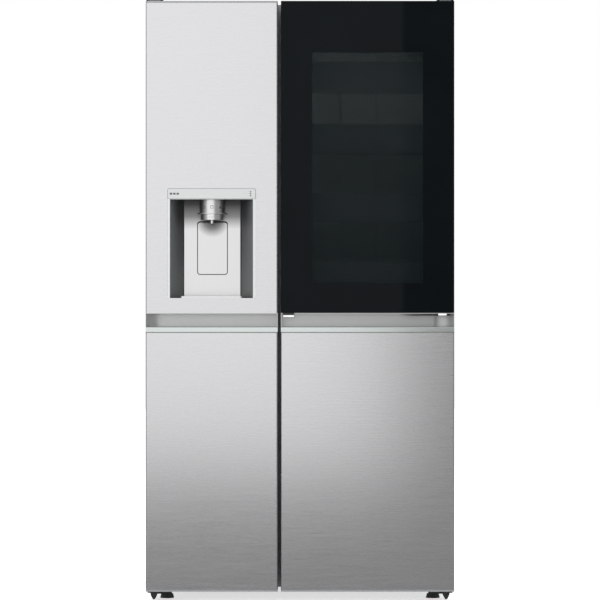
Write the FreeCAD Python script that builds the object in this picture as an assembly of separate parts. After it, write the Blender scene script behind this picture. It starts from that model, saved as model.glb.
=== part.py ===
"""Side by side refrigerator with a door-in-door glass panel and an ice and water dispenser.

Millimetres. X to the right, Y to the rear, Z up. The origin is the centre of the footprint at the floor.
"""
import FreeCAD, Part
import math
import os

os.makedirs("parts", exist_ok=True)

V = FreeCAD.Vector
X_AXIS = V(1, 0, 0)
Y_AXIS = V(0, 1, 0)
Z_AXIS = V(0, 0, 1)

# overall size
WIDTH = 913.0
DEPTH = 735.0
HEIGHT = 1790.0
HALF_W = WIDTH / 2
FACE_Y = -DEPTH / 2                 # front face of the doors
REAR_Y = DEPTH / 2

# doors
DOOR_T = 100.0                      # slab thickness
DOOR_Z0 = 33.0
DOOR_Z1 = 1781.0
DOOR_BACK = FACE_Y + DOOR_T
CASE_Y0 = DOOR_BACK + 15.0          # front of the cabinet
FREEZER_X1 = -66.0                  # free edge of the freezer door
FRIDGE_X0 = -56.5                   # free edge of the fridge door
PIVOT_IN = 25.0                     # hinge axis, in from the outer side
PIVOT_Y = FACE_Y + 45.0
PIVOT_X = HALF_W - PIVOT_IN
PIN_R = 5.0
PIN_CLEAR = 0.05
EDGE_R = 4.0                        # rounded vertical door edges
SKIN = 1.0                          # steel sheet

# handle pocket and its trim strip, across both doors
POCKET_Z0 = 816.5
POCKET_Z1 = 857.5
TRIM_Z0 = 798.7
POCKET_DEPTH = 30.0
POCKET_WALL = 2.0
POCKET_END = 40.0                   # length of the curved run-out at the outer end

# cabinet
CASE_X = 454.0
CASE_Z0 = 35.0
CASE_Z1 = 1781.5
CASE_Y1 = 352.0
LINER = 2.0
LINER_Y1 = 290.0
LINER_Z0 = 100.0
LINER_Z1 = 1720.0
FREEZER_IN_X0 = -394.0
FREEZER_IN_X1 = -91.0
FRIDGE_IN_X0 = -31.0
FRIDGE_IN_X1 = 408.0
MACHINE_Y0 = 130.0                  # front wall of the machine room
MACHINE_Z1 = 300.0                  # its ceiling
STEP_WALL = 45.0                    # insulation between the machine room and the compartments

# dispenser
DISP_X0 = -392.0
DISP_X1 = -130.7
DISP_CX = (DISP_X0 + DISP_X1) / 2
DISP_Z0 = 899.0
DISP_BAR_Z = 1195.0
DISP_Z1 = 1226.0
CAVITY_X0 = -385.0
CAVITY_X1 = -139.0
CAVITY_TAPER = 38.0

# glass outer door
GLASS_Z0 = POCKET_Z1 + 0.5
GLASS_T = 34.0
GLASS_BACK = FACE_Y + GLASS_T
GLASS_HINGE_X = HALF_W - 12.0
GLASS_HINGE_Y = FACE_Y + 20.0
INNER_Y0 = GLASS_BACK + 5.0         # front of the fridge door's own frame behind the glass door
WINDOW = (35.5, 364.0, 946.6, 1629.6)
PORT = (8.0, 372.0, 925.0, 1700.0)  # opening through the fridge door behind the glass

# bins on the doors reach this far behind the cabinet's front
FRIDGE_BIN_D = 88.0
FREEZER_BIN_D = 73.0
FRIDGE_BIN_X = (PIVOT_X - 428.0, PIVOT_X - 60.0)
FREEZER_BIN_X = (-PIVOT_X + 60.0, -PIVOT_X + 308.0)
BIN_WALL = 2.5

# feet, rollers and the machine room
FOOT_X = 400.0
FOOT_Y = CASE_Y0 + 32.0
FOOT_R = 21.0
FOOT_SCREW_R = 5.0
ROLLER_X = 400.0
ROLLER_Y = 300.0
ROLLER_R = 22.0
ROLLER_W = 20.0
AXLE_R = 4.0
FAN_X = -60.0
FAN_Y = 240.0
FAN_Z = 165.0
INLET_R = 10.0
GLAND_X = 300.0
GLAND_Z = 270.0
GLAND_BORE_R = 4.0
VALVE_X = -300.0
VALVE_Z = 265.0
WATER_R = 3.2
EVAP_Y0 = 212.0
EVAP_X = (FREEZER_IN_X0 + FREEZER_IN_X1) / 2
EVAP_FAN_Z = 1130.0

# shelves and drawers
SHELF_Y0 = CASE_Y0 + 97.0
FRIDGE_SHELVES = (600.0, 880.0, 1150.0, 1420.0)
FREEZER_SHELVES = (640.0, 880.0, 1120.0, 1360.0)
DRAWER_Y0 = CASE_Y0 + 95.0
DRAWER_WALL = 3.0
DRAWERS = {
    "crisper_lower": (FRIDGE_IN_X0 + 13, FRIDGE_IN_X1 - 13, 72.0, 112.0, 318.0),
    "crisper_upper": (FRIDGE_IN_X0 + 13, FRIDGE_IN_X1 - 13, 240.0, 358.0, 560.0),
    "freezer_drawer_lower": (FREEZER_IN_X0 + 14, FREEZER_IN_X1 - 13, 72.0, 112.0, 318.0),
    "freezer_drawer_upper": (FREEZER_IN_X0 + 14, FREEZER_IN_X1 - 13, 190.0, 358.0, 560.0),
}

# hinge bores, chute, nozzle and paddle
PIN_BORES = [(DOOR_Z0 - 1, DOOR_Z0 + 26), (DOOR_Z1 - 34, DOOR_Z1 + 1)]
CAP_Z0 = DOOR_Z0 + 6
CAP_Z1 = DOOR_Z1 - 6
CHUTE_TOP_Z = 1288.0
CHUTE_TOP_Y = -254.0
CHUTE_LOW_Z = 1130.0
CHUTE_LOW_Y = FACE_Y + 49.0
CHUTE_HALF = 24.0
RECESS_HALF = 47.0
RECESS_Z = (964.0, 1134.0)
RECESS_Y = FACE_Y + 96.0
NOZZLE_R = 38.5
FLANGE_R = 45.5
NOZZLE_Y = FACE_Y + 52.0
NOZZLE_Z0 = 1153.0
CAVITY_DEPTH = 80.0
FLAP_Z = 1163.0
PADDLE_HALF = 43.4
PADDLE_GAP = 2.3
PADDLE_Z0 = 973.4
PADDLE_Z1 = 1127.0
PADDLE_Y = FACE_Y + CAVITY_DEPTH - 2.8
FLAP_Y = FACE_Y + 46.0

# latch of the glass door
LATCH_X0 = -50.0
LATCH_X1 = -18.0

# notch in the glass door frame for each of its hinge plates
HINGE_NOTCH = 6.0
# foot of the glass door's lower hinge, a wedge that tapers along the top of the pocket
FOOT_WEDGE = [(300.0, 851.6), (400.0, 855.0), (404.0, 857.3), (444.0, 857.3), (444.0, 849.3), (330.0, 849.9)]
FOOT_MIDDLE = (420.0, 851.0)         # where the clearance round the foot changes sides


def box(x0, x1, y0, y1, z0, z1):
    """Box between two corners."""
    return Part.makeBox(x1 - x0, y1 - y0, z1 - z0, V(x0, y0, z0))


def tube(r, length, pos, axis=Z_AXIS):
    """Solid cylinder."""
    return Part.makeCylinder(r, length, pos, axis)


def fuse(shapes):
    """Union of several solids."""
    out = shapes[0]
    if len(shapes) > 1:
        out = out.multiFuse(shapes[1:])
    return out.removeSplitter()


def cut(shape, *tools):
    """Shape less several tools."""
    return shape.cut(list(tools)).removeSplitter()


def round_edges(shape, radius, pick):
    """Fillet the edges that pick() accepts."""
    edges = [e for e in shape.Edges if pick(e)]
    return shape.makeFillet(radius, edges) if edges else shape


def is_along(edge, axis):
    """True for a straight edge parallel to an axis."""
    if len(edge.Vertexes) != 2:
        return False
    d = edge.Vertexes[1].Point - edge.Vertexes[0].Point
    return d.Length > 1e-6 and abs(abs(d.normalize().dot(axis)) - 1) < 1e-6


def tray(x0, x1, y0, y1, z0, z1, wall, radius=6.0):
    """Open-topped bin with a flat floor and rounded upright corners."""
    body = box(x0, x1, y0, y1, z0, z1)
    body = round_edges(body, radius, lambda e: is_along(e, Z_AXIS))
    hollow = box(x0 + wall, x1 - wall, y0 + wall, y1 - wall, z0 + wall, z1 + 1)
    hollow = round_edges(hollow, max(radius - wall, 1.0), lambda e: is_along(e, Z_AXIS))
    return cut(body, hollow)


def save(name, shapes):
    """Write one node, made of one or more separate solids."""
    shapes = shapes if isinstance(shapes, list) else [shapes]
    solids = [s for shape in shapes for s in shape.Solids]
    node = solids[0] if len(solids) == 1 else Part.makeCompound(solids)
    bad = [i for i, s in enumerate(solids) if not s.isValid() or s.Volume <= 0]
    print("%-28s %2d solids %12.0f mm3 %s" % (name, len(solids), node.Volume, "BAD" if bad else ""))
    node.exportStep("parts/%s.step" % name)


# ---------------------------------------------------------------- cabinet


def outer_case():
    """Steel wrapper: two sides and the top, with the front flange round both compartments."""
    out = box(-CASE_X, CASE_X, CASE_Y0, CASE_Y1, CASE_Z0, CASE_Z1)
    inner = box(-CASE_X + SKIN, CASE_X - SKIN, CASE_Y0 - 1, CASE_Y1 + 1, CASE_Z0 - 1, CASE_Z1 - SKIN)
    case = cut(out, inner)
    flange = box(-CASE_X + SKIN / 2, CASE_X - SKIN / 2, CASE_Y0, CASE_Y0 + 1.5,
                 CASE_Z0 + 0.5, CASE_Z1 - SKIN / 2)
    holes = []
    for x0, x1 in ((FREEZER_IN_X0, FREEZER_IN_X1), (FRIDGE_IN_X0, FRIDGE_IN_X1)):
        hole = box(x0, x1, CASE_Y0 - 1, CASE_Y0 + 3, LINER_Z0, LINER_Z1)
        holes.append(round_edges(hole, 18.0, lambda e: is_along(e, Y_AXIS)))
    save("outer_case", [fuse([case, cut(flange, *holes)]), back_panel()])


def back_panel():
    """Rear steel sheet with pressed ribs, above the machine room."""
    x = CASE_X - SKIN - 0.5
    sheet = box(-x, x, CASE_Y1 - SKIN, CASE_Y1, MACHINE_Z1, CASE_Z1 - SKIN - 0.5)
    ribs = []
    for i in range(5):
        z = 480.0 + i * 260.0
        rib = box(-330, 330, CASE_Y1 - 0.5, CASE_Y1 + 4, z, z + 34)
        ribs.append(round_edges(rib, 3.5, lambda e: is_along(e, X_AXIS) and e.Vertexes[0].Y > CASE_Y1 + 1))
    return fuse([sheet] + ribs)


def liner_cavity(x0, x1):
    """Inside of one compartment, with the step over the machine room."""
    body = box(x0, x1, CASE_Y0 - 1, LINER_Y1, LINER_Z0, LINER_Z1)
    body = round_edges(body, 18.0, lambda e: is_along(e, Y_AXIS))
    step_y = MACHINE_Y0 - STEP_WALL
    step = box(x0 - 1, x1 + 1, step_y, LINER_Y1 + 1, LINER_Z0 - 1, MACHINE_Z1 + STEP_WALL)
    return cut(body, step)


def liner(x0, x1):
    """Vacuum-formed plastic liner of one compartment."""
    outer = box(x0 - LINER, x1 + LINER, CASE_Y0 + 1.5, LINER_Y1 + LINER, LINER_Z0 - LINER, LINER_Z1 + LINER)
    outer = round_edges(outer, 18.0 + LINER, lambda e: is_along(e, Y_AXIS))
    step_y = MACHINE_Y0 - STEP_WALL - LINER
    outer = cut(outer, box(x0 - 5, x1 + 5, step_y + LINER * 2, LINER_Y1 + 5, LINER_Z0 - 5,
                           MACHINE_Z1 + STEP_WALL - LINER))
    return outer, cut(outer, liner_cavity(x0, x1))


def cabinet_shell():
    """The two liners and the foam between them and the case."""
    freezer, freezer_liner = liner(FREEZER_IN_X0, FREEZER_IN_X1)
    fridge, fridge_liner = liner(FRIDGE_IN_X0, FRIDGE_IN_X1)
    save("compartment_liners", [freezer_liner, fridge_liner])
    x = CASE_X - SKIN
    foam = box(-x, x, CASE_Y0 + 1.5, CASE_Y1 - SKIN, CASE_Z0 + 3, CASE_Z1 - SKIN)
    machine = box(-x - 1, x + 1, MACHINE_Y0, CASE_Y1, CASE_Z0 - 1, MACHINE_Z1)
    cavities = []
    for x0, x1 in ((FREEZER_IN_X0, FREEZER_IN_X1), (FRIDGE_IN_X0, FRIDGE_IN_X1)):
        cavities.append(liner_cavity(x0, x1))
    screws = [tube(9.0, 40.0, V(side * FOOT_X, FOOT_Y, CASE_Z0)) for side in (-1, 1)]
    foam = cut(foam, machine, freezer, fridge, *(cavities + screws))
    save("foam_core", foam)


def base_frame():
    """Bottom deck, machine room sides and the front rail that carries the feet and hinges."""
    x = CASE_X - SKIN - 0.2
    deck = box(-x, x, CASE_Y0 + 1.6, MACHINE_Y0, CASE_Z0, CASE_Z0 + 2.5)
    wall = box(-x, x, MACHINE_Y0 - 0.0, MACHINE_Y0 + 1.5, CASE_Z0, MACHINE_Z1 - 0.2)
    roof = box(-x, x, MACHINE_Y0, CASE_Y1 - 2.0, MACHINE_Z1 - 1.7, MACHINE_Z1 - 0.2)
    floor = box(-x, x, MACHINE_Y0, CASE_Y1 - 2.0, CASE_Z0, CASE_Z0 + 2.0)
    vents = []
    for i in range(7):
        vents.append(box(-230 + i * 30, -214 + i * 30, 170, 300, CASE_Z0 - 1, CASE_Z0 + 4))
    frame = fuse([deck, wall, roof, floor])
    frame = cut(frame, *vents)
    for side in (-1, 1):
        cx = side * FOOT_X
        frame = cut(frame, tube(FOOT_SCREW_R + 1.0, 20, V(cx, FOOT_Y, CASE_Z0 - 5)))
        cx = side * ROLLER_X
        frame = cut(frame, box(cx - 16, cx + 16, ROLLER_Y - 28, ROLLER_Y + 28, CASE_Z0 - 1, CASE_Z0 + 3))
    save("base_frame", frame)


def feet_and_rollers():
    """Front levelling feet that screw in a bracket, and rear rollers on fixed axles."""
    brackets = []
    for side, word in ((-1, "left"), (1, "right")):
        cx = side * FOOT_X
        pad = Part.makeCone(FOOT_R, FOOT_R - 3.0, 12.0, V(cx, FOOT_Y, 0))
        neck = tube(11.0, 8.0, V(cx, FOOT_Y, 12.0))
        hexa = Part.makePolygon([V(cx + 14 * math.cos(a), FOOT_Y + 14 * math.sin(a), 12.0)
                                 for a in [math.radians(60 * k) for k in range(7)]])
        nut = Part.Face(hexa).extrude(V(0, 0, 6.0))
        screw = tube(FOOT_SCREW_R, 50.0, V(cx, FOOT_Y, 12.0))
        save("levelling_foot_" + word, fuse([pad, neck, nut, screw]))

        collar = tube(14.0, 14.0, V(cx, FOOT_Y, 21.0))
        plate = box(cx - 20, cx + 20, FOOT_Y - 24, FOOT_Y + 24, CASE_Z0 - 3.0, CASE_Z0 - 0.2)
        bracket = fuse([collar, plate])
        bracket = cut(bracket, tube(FOOT_SCREW_R + PIN_CLEAR, 60.0, V(cx, FOOT_Y, 0)))
        brackets.append(bracket)

        cx = side * ROLLER_X
        wheel = tube(ROLLER_R, ROLLER_W, V(cx - ROLLER_W / 2, ROLLER_Y, ROLLER_R), X_AXIS)
        groove = tube(ROLLER_R + 1, 4.0, V(cx - 2.0, ROLLER_Y, ROLLER_R), X_AXIS)
        groove = cut(groove, tube(ROLLER_R - 2.0, 4.0, V(cx - 2.0, ROLLER_Y, ROLLER_R), X_AXIS))
        bore = tube(AXLE_R + PIN_CLEAR, ROLLER_W + 2, V(cx - ROLLER_W / 2 - 1, ROLLER_Y, ROLLER_R), X_AXIS)
        save("rear_roller_" + word, cut(wheel, groove, bore))

        axle = tube(AXLE_R, 36.0, V(cx - 18, ROLLER_Y, ROLLER_R), X_AXIS)
        cheeks = []
        for off in (-15.0, 13.0):
            cheek = box(cx + off, cx + off + 2, ROLLER_Y - 20, ROLLER_Y + 20, 14.0, CASE_Z0 + 40)
            cheeks.append(round_edges(cheek, 8.0, lambda e: is_along(e, X_AXIS) and e.Vertexes[0].Z < 15))
        top = box(cx - 15, cx + 15, ROLLER_Y - 20, ROLLER_Y + 20, CASE_Z0 + 38, CASE_Z0 + 40)
        brackets.append(fuse(cheeks + [top, axle]))
    save("foot_and_roller_brackets", brackets)


def hinges():
    """Top and bottom hinge plates with their pins, and the covers over the top ones."""
    plates, covers, lower = [], [], []
    for side in (-1, 1):
        px = side * PIVOT_X
        plate = box(min(px - 22, px + 22), max(px - 22, px + 22), PIVOT_Y - 20, CASE_Y0 + 90,
                    CASE_Z1, CASE_Z1 + 3)
        plate = round_edges(plate, 12.0, lambda e: is_along(e, Z_AXIS))
        pin = tube(PIN_R, 32.0, V(px, PIVOT_Y, CASE_Z1 - 32.0))
        screws = [tube(4.5, 2.0, V(px, CASE_Y0 + y, CASE_Z1 + 3)) for y in (25.0, 70.0)]
        plates.append(fuse([plate] + screws))
        plates.append(pin)

        cover = box(px - 25, px + 25, PIVOT_Y - 25, CASE_Y0 + 120, CASE_Z1, HEIGHT)
        cover = round_edges(cover, 14.0, lambda e: is_along(e, Z_AXIS))
        cover = round_edges(cover, 2.0, lambda e: e.CenterOfMass.z > HEIGHT - 0.01)
        inner = box(px - 23, px + 23, PIVOT_Y - 23, CASE_Y0 + 118, CASE_Z1 - 1, HEIGHT - 2)
        covers.append(cut(cover, inner))

        arm = box(px - 11, px + 22, PIVOT_Y - 16, CASE_Y0 + 40, DOOR_Z0 - 6.5, DOOR_Z0 - 1.5)
        if side < 0:
            arm = box(px - 22, px + 11, PIVOT_Y - 16, CASE_Y0 + 40, DOOR_Z0 - 6.5, DOOR_Z0 - 1.5)
        arm = round_edges(arm, 9.0, lambda e: is_along(e, Z_AXIS) and e.Vertexes[0].Y < PIVOT_Y)
        upright = box(arm.BoundBox.XMin, arm.BoundBox.XMax, CASE_Y0 + 2.0, CASE_Y0 + 40,
                      DOOR_Z0 - 3.0, CASE_Z0 - 0.1)
        pin = tube(PIN_R, 30.0, V(px, PIVOT_Y, DOOR_Z0 - 6.0))
        washer = tube(10.0, 1.0, V(px, PIVOT_Y, DOOR_Z0 - 1.5))
        inner_x = side * (PIVOT_X - 48.0)
        wing = box(min(inner_x, px), max(inner_x, px), PIVOT_Y + 20, CASE_Y0 - 8,
                   DOOR_Z0 - 13.0, DOOR_Z0 - 1.5)
        lower.append(fuse([arm, upright, pin, washer, wing]))

        guard_x = side * (PIVOT_X + 2.5)
        outline = [(-11.0, DOOR_Z0 - 6.5), (11.0, DOOR_Z0 - 6.5), (9.5, 19.0), (3.0, 7.0),
                   (-3.0, 7.0), (-9.5, 19.0)]
        pts = [V(guard_x + x, PIVOT_Y - 10, z) for x, z in outline]
        tip = Part.Face(Part.makePolygon(pts + [pts[0]])).extrude(V(0, 12, 0))
        lower.append(round_edges(tip, 2.0, lambda e: is_along(e, Y_AXIS)))
    save("top_hinges", plates)
    save("hinge_covers", covers)
    save("bottom_hinges", lower)


# ---------------------------------------------------------------- machine room and cooling


def compressor():
    """Hermetic compressor on its mounting plate with four rubber grommets."""
    cx, cy = 270.0, 245.0
    z0 = CASE_Z0 + 2.0
    body = tube(78.0, 70.0, V(cx, cy, z0 + 70))
    low = Part.makeCone(58.0, 78.0, 20.0, V(cx, cy, z0 + 50))
    dome = Part.makeCone(78.0, 50.0, 26.0, V(cx, cy, z0 + 140))
    seam = tube(82.0, 6.0, V(cx, cy, z0 + 98))
    foot = box(cx - 95, cx + 95, cy - 60, cy + 60, z0 + 14, z0 + 17)
    foot = round_edges(foot, 15.0, lambda e: is_along(e, Z_AXIS))
    stand = tube(40.0, 45.0, V(cx, cy, z0 + 15))
    box_ = box(cx - 30, cx + 30, cy - 100, cy - 70, z0 + 70, z0 + 130)
    stubs = [tube(4.0, 60.0, V(cx + dx, cy + 20, z0 + 130)) for dx in (-35.0, 0.0, 35.0)]
    shell = fuse([body, low, dome, seam, foot, stand, box_] + stubs)
    mounts = []
    for dx in (-80.0, 80.0):
        for dy in (-45.0, 45.0):
            mounts.append(tube(12.0, 14.0, V(cx + dx, cy + dy, z0)))
    save("compressor", [shell] + mounts)


def fan_blades(cx, cy, cz, axis, radius, count, width):
    """Hub with swept flat blades on a bore for the motor shaft; turns about one axis."""
    hub = tube(18.0, width, V(0, 0, 0))
    blades = []
    for i in range(count):
        blade = box(12, radius, -16, 16, width * 0.35, width * 0.35 + 2.0)
        blade = round_edges(blade, 12.0, lambda e: is_along(e, Z_AXIS) and e.Vertexes[0].X > radius - 1)
        blade.rotate(V(0, 0, width * 0.4), X_AXIS, 24)
        blade.rotate(V(0, 0, 0), Z_AXIS, 360.0 * i / count)
        blades.append(blade)
    rotor = cut(fuse([hub] + blades), tube(3.0 + PIN_CLEAR, width, V(0, 0, 5)))
    turn = FreeCAD.Rotation(Z_AXIS, axis)
    rotor.Placement = FreeCAD.Placement(V(cx, cy, cz), turn).multiply(rotor.Placement)
    return rotor


def condenser():
    """Finned condenser, its fan with motor bracket, drain pan and filter drier."""
    fins = []
    for i in range(24):
        x = -400.0 + i * 9.0
        fins.append(box(x, x + 1.0, 170, 310, 80, 240))
    tubes_ = []
    for j in range(4):
        for k in range(4):
            tubes_.append(tube(4.0, 240.0, V(-412, 190.0 + j * 33, 92.0 + k * 42), X_AXIS))
    drier = tube(10.0, 90.0, V(100, 150, 190), X_AXIS)
    drier = round_edges(drier, 6.0, lambda e: e.Closed)
    save("condenser_coil", [fuse(fins + tubes_), drier])

    save("condenser_fan", fan_blades(FAN_X - 30, FAN_Y, FAN_Z, X_AXIS, 68.0, 5, 24.0))
    ring = box(FAN_X - 20 - 22, FAN_X - 2, FAN_Y - 88, FAN_Y + 88, CASE_Z0 + 2, FAN_Z + 88)
    ring = cut(ring, tube(76.0, 80, V(FAN_X - 60, FAN_Y, FAN_Z), X_AXIS))
    motor = tube(26.0, 30.0, V(FAN_X + 2, FAN_Y, FAN_Z), X_AXIS)
    shaft = tube(3.0, 28.0, V(FAN_X - 24, FAN_Y, FAN_Z), X_AXIS)
    arm = box(FAN_X + 4, FAN_X + 12, FAN_Y - 92, FAN_Y + 92, FAN_Z - 8, FAN_Z + 8)
    arm_ends = [box(FAN_X - 6, FAN_X + 12, FAN_Y + y, FAN_Y + y + 6, FAN_Z - 8, FAN_Z + 8)
                for y in (-92.0, 86.0)]
    pan = tray(20.0, 165.0, 160.0, 330.0, CASE_Z0 + 2.5, CASE_Z0 + 42, 2.5)
    save("condenser_fan_shroud", [fuse([ring, motor, shaft, arm] + arm_ends), pan])


def rear_cover():
    """Louvred cover over the machine room, with the power inlet and the water valve on it."""
    cover = box(-440, 440, CASE_Y1 - 1.6, CASE_Y1, CASE_Z0 + 3, MACHINE_Z1 - 2)
    slots = []
    for i in range(22):
        x = -410.0 + i * 28.0
        for z in (70.0, 130.0, 190.0):
            slots.append(box(x, x + 9, CASE_Y1 - 5, CASE_Y1 + 5, z, z + 44))
    holes = [tube(INLET_R, 12, V(GLAND_X, CASE_Y1 - 6, GLAND_Z), Y_AXIS),
             tube(INLET_R, 12, V(VALVE_X, CASE_Y1 - 6, VALVE_Z), Y_AXIS)]
    cover = cut(cover, *(slots + holes))
    flange = tube(14.0, 3.0, V(GLAND_X, CASE_Y1, GLAND_Z), Y_AXIS)
    sleeve = tube(INLET_R - 0.3, 22.0, V(GLAND_X, CASE_Y1 - 12, GLAND_Z), Y_AXIS)
    bore = tube(GLAND_BORE_R, 40.0, V(GLAND_X, CASE_Y1 - 20, GLAND_Z), Y_AXIS)
    gland = cut(fuse([flange, sleeve]), bore)

    body = box(VALVE_X - 22, VALVE_X + 22, CASE_Y1 - 50, CASE_Y1 - 2, VALVE_Z - 18, VALVE_Z + 18)
    coil = tube(14.0, 30.0, V(VALVE_X, CASE_Y1 - 28, VALVE_Z - 46))
    inlet = tube(INLET_R - 0.3, 27.0, V(VALVE_X, CASE_Y1 - 14, VALVE_Z), Y_AXIS)
    nut = tube(14.0, 5.0, V(VALVE_X, CASE_Y1, VALVE_Z), Y_AXIS)
    bore = tube(WATER_R, 25.0, V(VALVE_X, CASE_Y1 - 12, VALVE_Z), Y_AXIS)
    save("water_valve", cut(fuse([body, coil, inlet, nut]), bore))

    spacers = []
    for x in (-360.0, 340.0):
        spacer = box(x, x + 20, CASE_Y1, REAR_Y, 1690, 1730)
        spacers.append(round_edges(spacer, 4.0, lambda e: is_along(e, Y_AXIS)))
    save("rear_cover", [cover, gland] + spacers)


def evaporator():
    """Finned evaporator and its fan behind the freezer's rear cover."""
    fins = [box(EVAP_X - 125 + i * 10.0, EVAP_X - 124 + i * 10.0, 225, 280, 450, 900) for i in range(26)]
    tubes_ = []
    for k in range(9):
        for y in (238.0, 266.0):
            tubes_.append(tube(4.0, 266.0, V(EVAP_X - 133, y, 480.0 + k * 48), X_AXIS))
    save("evaporator", fuse(fins + tubes_))

    x0, x1 = FREEZER_IN_X0 + 1.5, FREEZER_IN_X1 - 1.5
    cover = box(x0, x1, EVAP_Y0 - 12, EVAP_Y0, 420, 1500)
    cover = round_edges(cover, 5.0, lambda e: is_along(e, Z_AXIS) and e.Vertexes[0].Y < EVAP_Y0 - 5)
    grille = []
    for row in range(5):
        for z in (470.0, 1130.0, 1400.0):
            grille.append(box(EVAP_X - 70, EVAP_X + 70, 190, 230, z - 34 + row * 15, z - 27 + row * 15))
    cover = cut(cover, *grille)

    rotor = fan_blades(EVAP_X, EVAP_Y0 + 12, EVAP_FAN_Z, Y_AXIS, 54.0, 5, 20.0)
    save("evaporator_fan", rotor)
    motor = tube(22.0, 24.0, V(EVAP_X, EVAP_Y0 + 34, EVAP_FAN_Z), Y_AXIS)
    shaft = tube(3.0, 18.0, V(EVAP_X, EVAP_Y0 + 18, EVAP_FAN_Z), Y_AXIS)
    arms = [box(EVAP_X - 90, EVAP_X + 90, EVAP_Y0 + 44, EVAP_Y0 + 50, EVAP_FAN_Z - 6, EVAP_FAN_Z + 6)]
    arms += [box(EVAP_X + x, EVAP_X + x + 8, EVAP_Y0, EVAP_Y0 + 50, EVAP_FAN_Z - 6, EVAP_FAN_Z + 6)
             for x in (-90.0, 82.0)]
    save("evaporator_cover", [cover, fuse([motor, shaft] + arms)])


def air_duct():
    """Duct panel up the back of the fridge compartment with air outlets."""
    duct = box(130, 246, 262, 289.5, 400, 1690)
    duct = round_edges(duct, 8.0, lambda e: is_along(e, Z_AXIS) and e.Vertexes[0].Y < 270)
    hollow = box(134, 242, 266, 300, 404, 1686)
    vents = []
    for z in (520.0, 760.0, 1040.0, 1320.0, 1580.0):
        for row in range(3):
            vents.append(box(150, 226, 255, 270, z + row * 12, z + 5 + row * 12))
    save("fridge_air_duct", cut(duct, hollow, *vents))


def shelves():
    """Glass shelves with plastic front trims, and the ledges that carry them."""
    glass = []
    trims = []
    ledges = []
    plan = [(FRIDGE_IN_X0, FRIDGE_IN_X1, 255.0, z) for z in FRIDGE_SHELVES]
    plan += [(FREEZER_IN_X0, FREEZER_IN_X1, 195.0, z) for z in FREEZER_SHELVES]
    for x0, x1, y1, z in plan:
        glass.append(box(x0 + 4, x1 - 4, SHELF_Y0 + 8.2, y1, z, z + 4))
        trim = box(x0 + 4, x1 - 4, SHELF_Y0, SHELF_Y0 + 20, z - 8, z + 12)
        trim = round_edges(trim, 5.0, lambda e: is_along(e, X_AXIS) and e.Vertexes[0].Y < SHELF_Y0 + 1)
        trims.append(cut(trim, box(x0, x1, SHELF_Y0 + 8, SHELF_Y0 + 21, z - 0.1, z + 4.1)))
        for side, xe in ((1, x0), (-1, x1)):
            ledge = box(min(xe, xe + side * 10), max(xe, xe + side * 10), SHELF_Y0 + 21, y1, z - 8, z - 0.1)
            ledges.append(ledge)
    save("shelf_glass", glass)
    return trims + ledges


def drawers(shelf_parts):
    """Pull-out drawers with a lip handle, each on two side rails."""
    rails = []
    spaces = [liner_cavity(FREEZER_IN_X0, FREEZER_IN_X1), liner_cavity(FRIDGE_IN_X0, FRIDGE_IN_X1)]
    for name, (x0, x1, y1, z0, z1) in DRAWERS.items():
        body = tray(x0, x1, DRAWER_Y0 + 6, y1, z0, z1 - 10, DRAWER_WALL, 10.0)
        front = box(x0, x1, DRAWER_Y0, DRAWER_Y0 + 6.5, z0, z1)
        grip = box(x0 + 60, x1 - 60, DRAWER_Y0 + 2, DRAWER_Y0 + 24, z1 - 6, z1)
        grip = round_edges(grip, 2.5, lambda e: is_along(e, X_AXIS))
        save(name, fuse([body, front, grip]))
        for side, xe in ((1, x0), (-1, x1)):
            wall = xe - side * 13.5
            rail = box(min(wall, xe + side * 8), max(wall, xe + side * 8), DRAWER_Y0 + 12, y1 - 2,
                       z0 - 6, z0 - 0.4)
            rails.append(rail.common(fuse(spaces)))
    save("shelf_trims_and_rails", shelf_parts + rails)


def small_parts():
    """Lamps, water filter and control board."""
    lamps = []
    for x0, x1 in ((-330.0, -160.0), (90.0, 290.0)):
        lens = box(x0, x1, -60, 0, LINER_Z1 - 9, LINER_Z1 - 0.2)
        lamps.append(round_edges(lens, 4.0, lambda e: e.CenterOfMass.z < LINER_Z1 - 8))
    save("led_lamps", lamps)
    cup = tube(28.0, 190.0, V(FRIDGE_IN_X1 - 48, -60, LINER_Z1 - 45), Y_AXIS)
    cap = tube(31.0, 16.0, V(FRIDGE_IN_X1 - 48, -76, LINER_Z1 - 45), Y_AXIS)
    grip = box(FRIDGE_IN_X1 - 51, FRIDGE_IN_X1 - 45, -84, -70, LINER_Z1 - 68, LINER_Z1 - 22)
    clip = box(FRIDGE_IN_X1 - 60, FRIDGE_IN_X1 - 36, -20, 100, LINER_Z1 - 25, LINER_Z1 - 0.2)
    save("water_filter", fuse([cup, cap, grip, clip]))


# ---------------------------------------------------------------- doors


def hinge_bores(px, z_pairs):
    """Bores for the hinge pins in a door."""
    return [tube(PIN_R + PIN_CLEAR, z1 - z0, V(px, PIVOT_Y, z0)) for z0, z1 in z_pairs]


def panel(x0, x1, y1, z0, z1, open_top, open_bottom, y0=FACE_Y):
    """Steel front with folded sides, rounded upright edges, open at the back."""
    out = box(x0, x1, y0, y1, z0, z1)
    out = round_edges(out, EDGE_R, lambda e: is_along(e, Z_AXIS) and e.Vertexes[0].Y < y0 + 1)
    top = z1 + 1 if open_top else z1 - SKIN
    low = z0 - 1 if open_bottom else z0 + SKIN
    inner = box(x0 + SKIN, x1 - SKIN, y0 + SKIN, y1 + 1, low, top)
    inner = round_edges(inner, EDGE_R - SKIN, lambda e: is_along(e, Z_AXIS) and e.Vertexes[0].Y < y0 + 2)
    return cut(out, inner)


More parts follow.
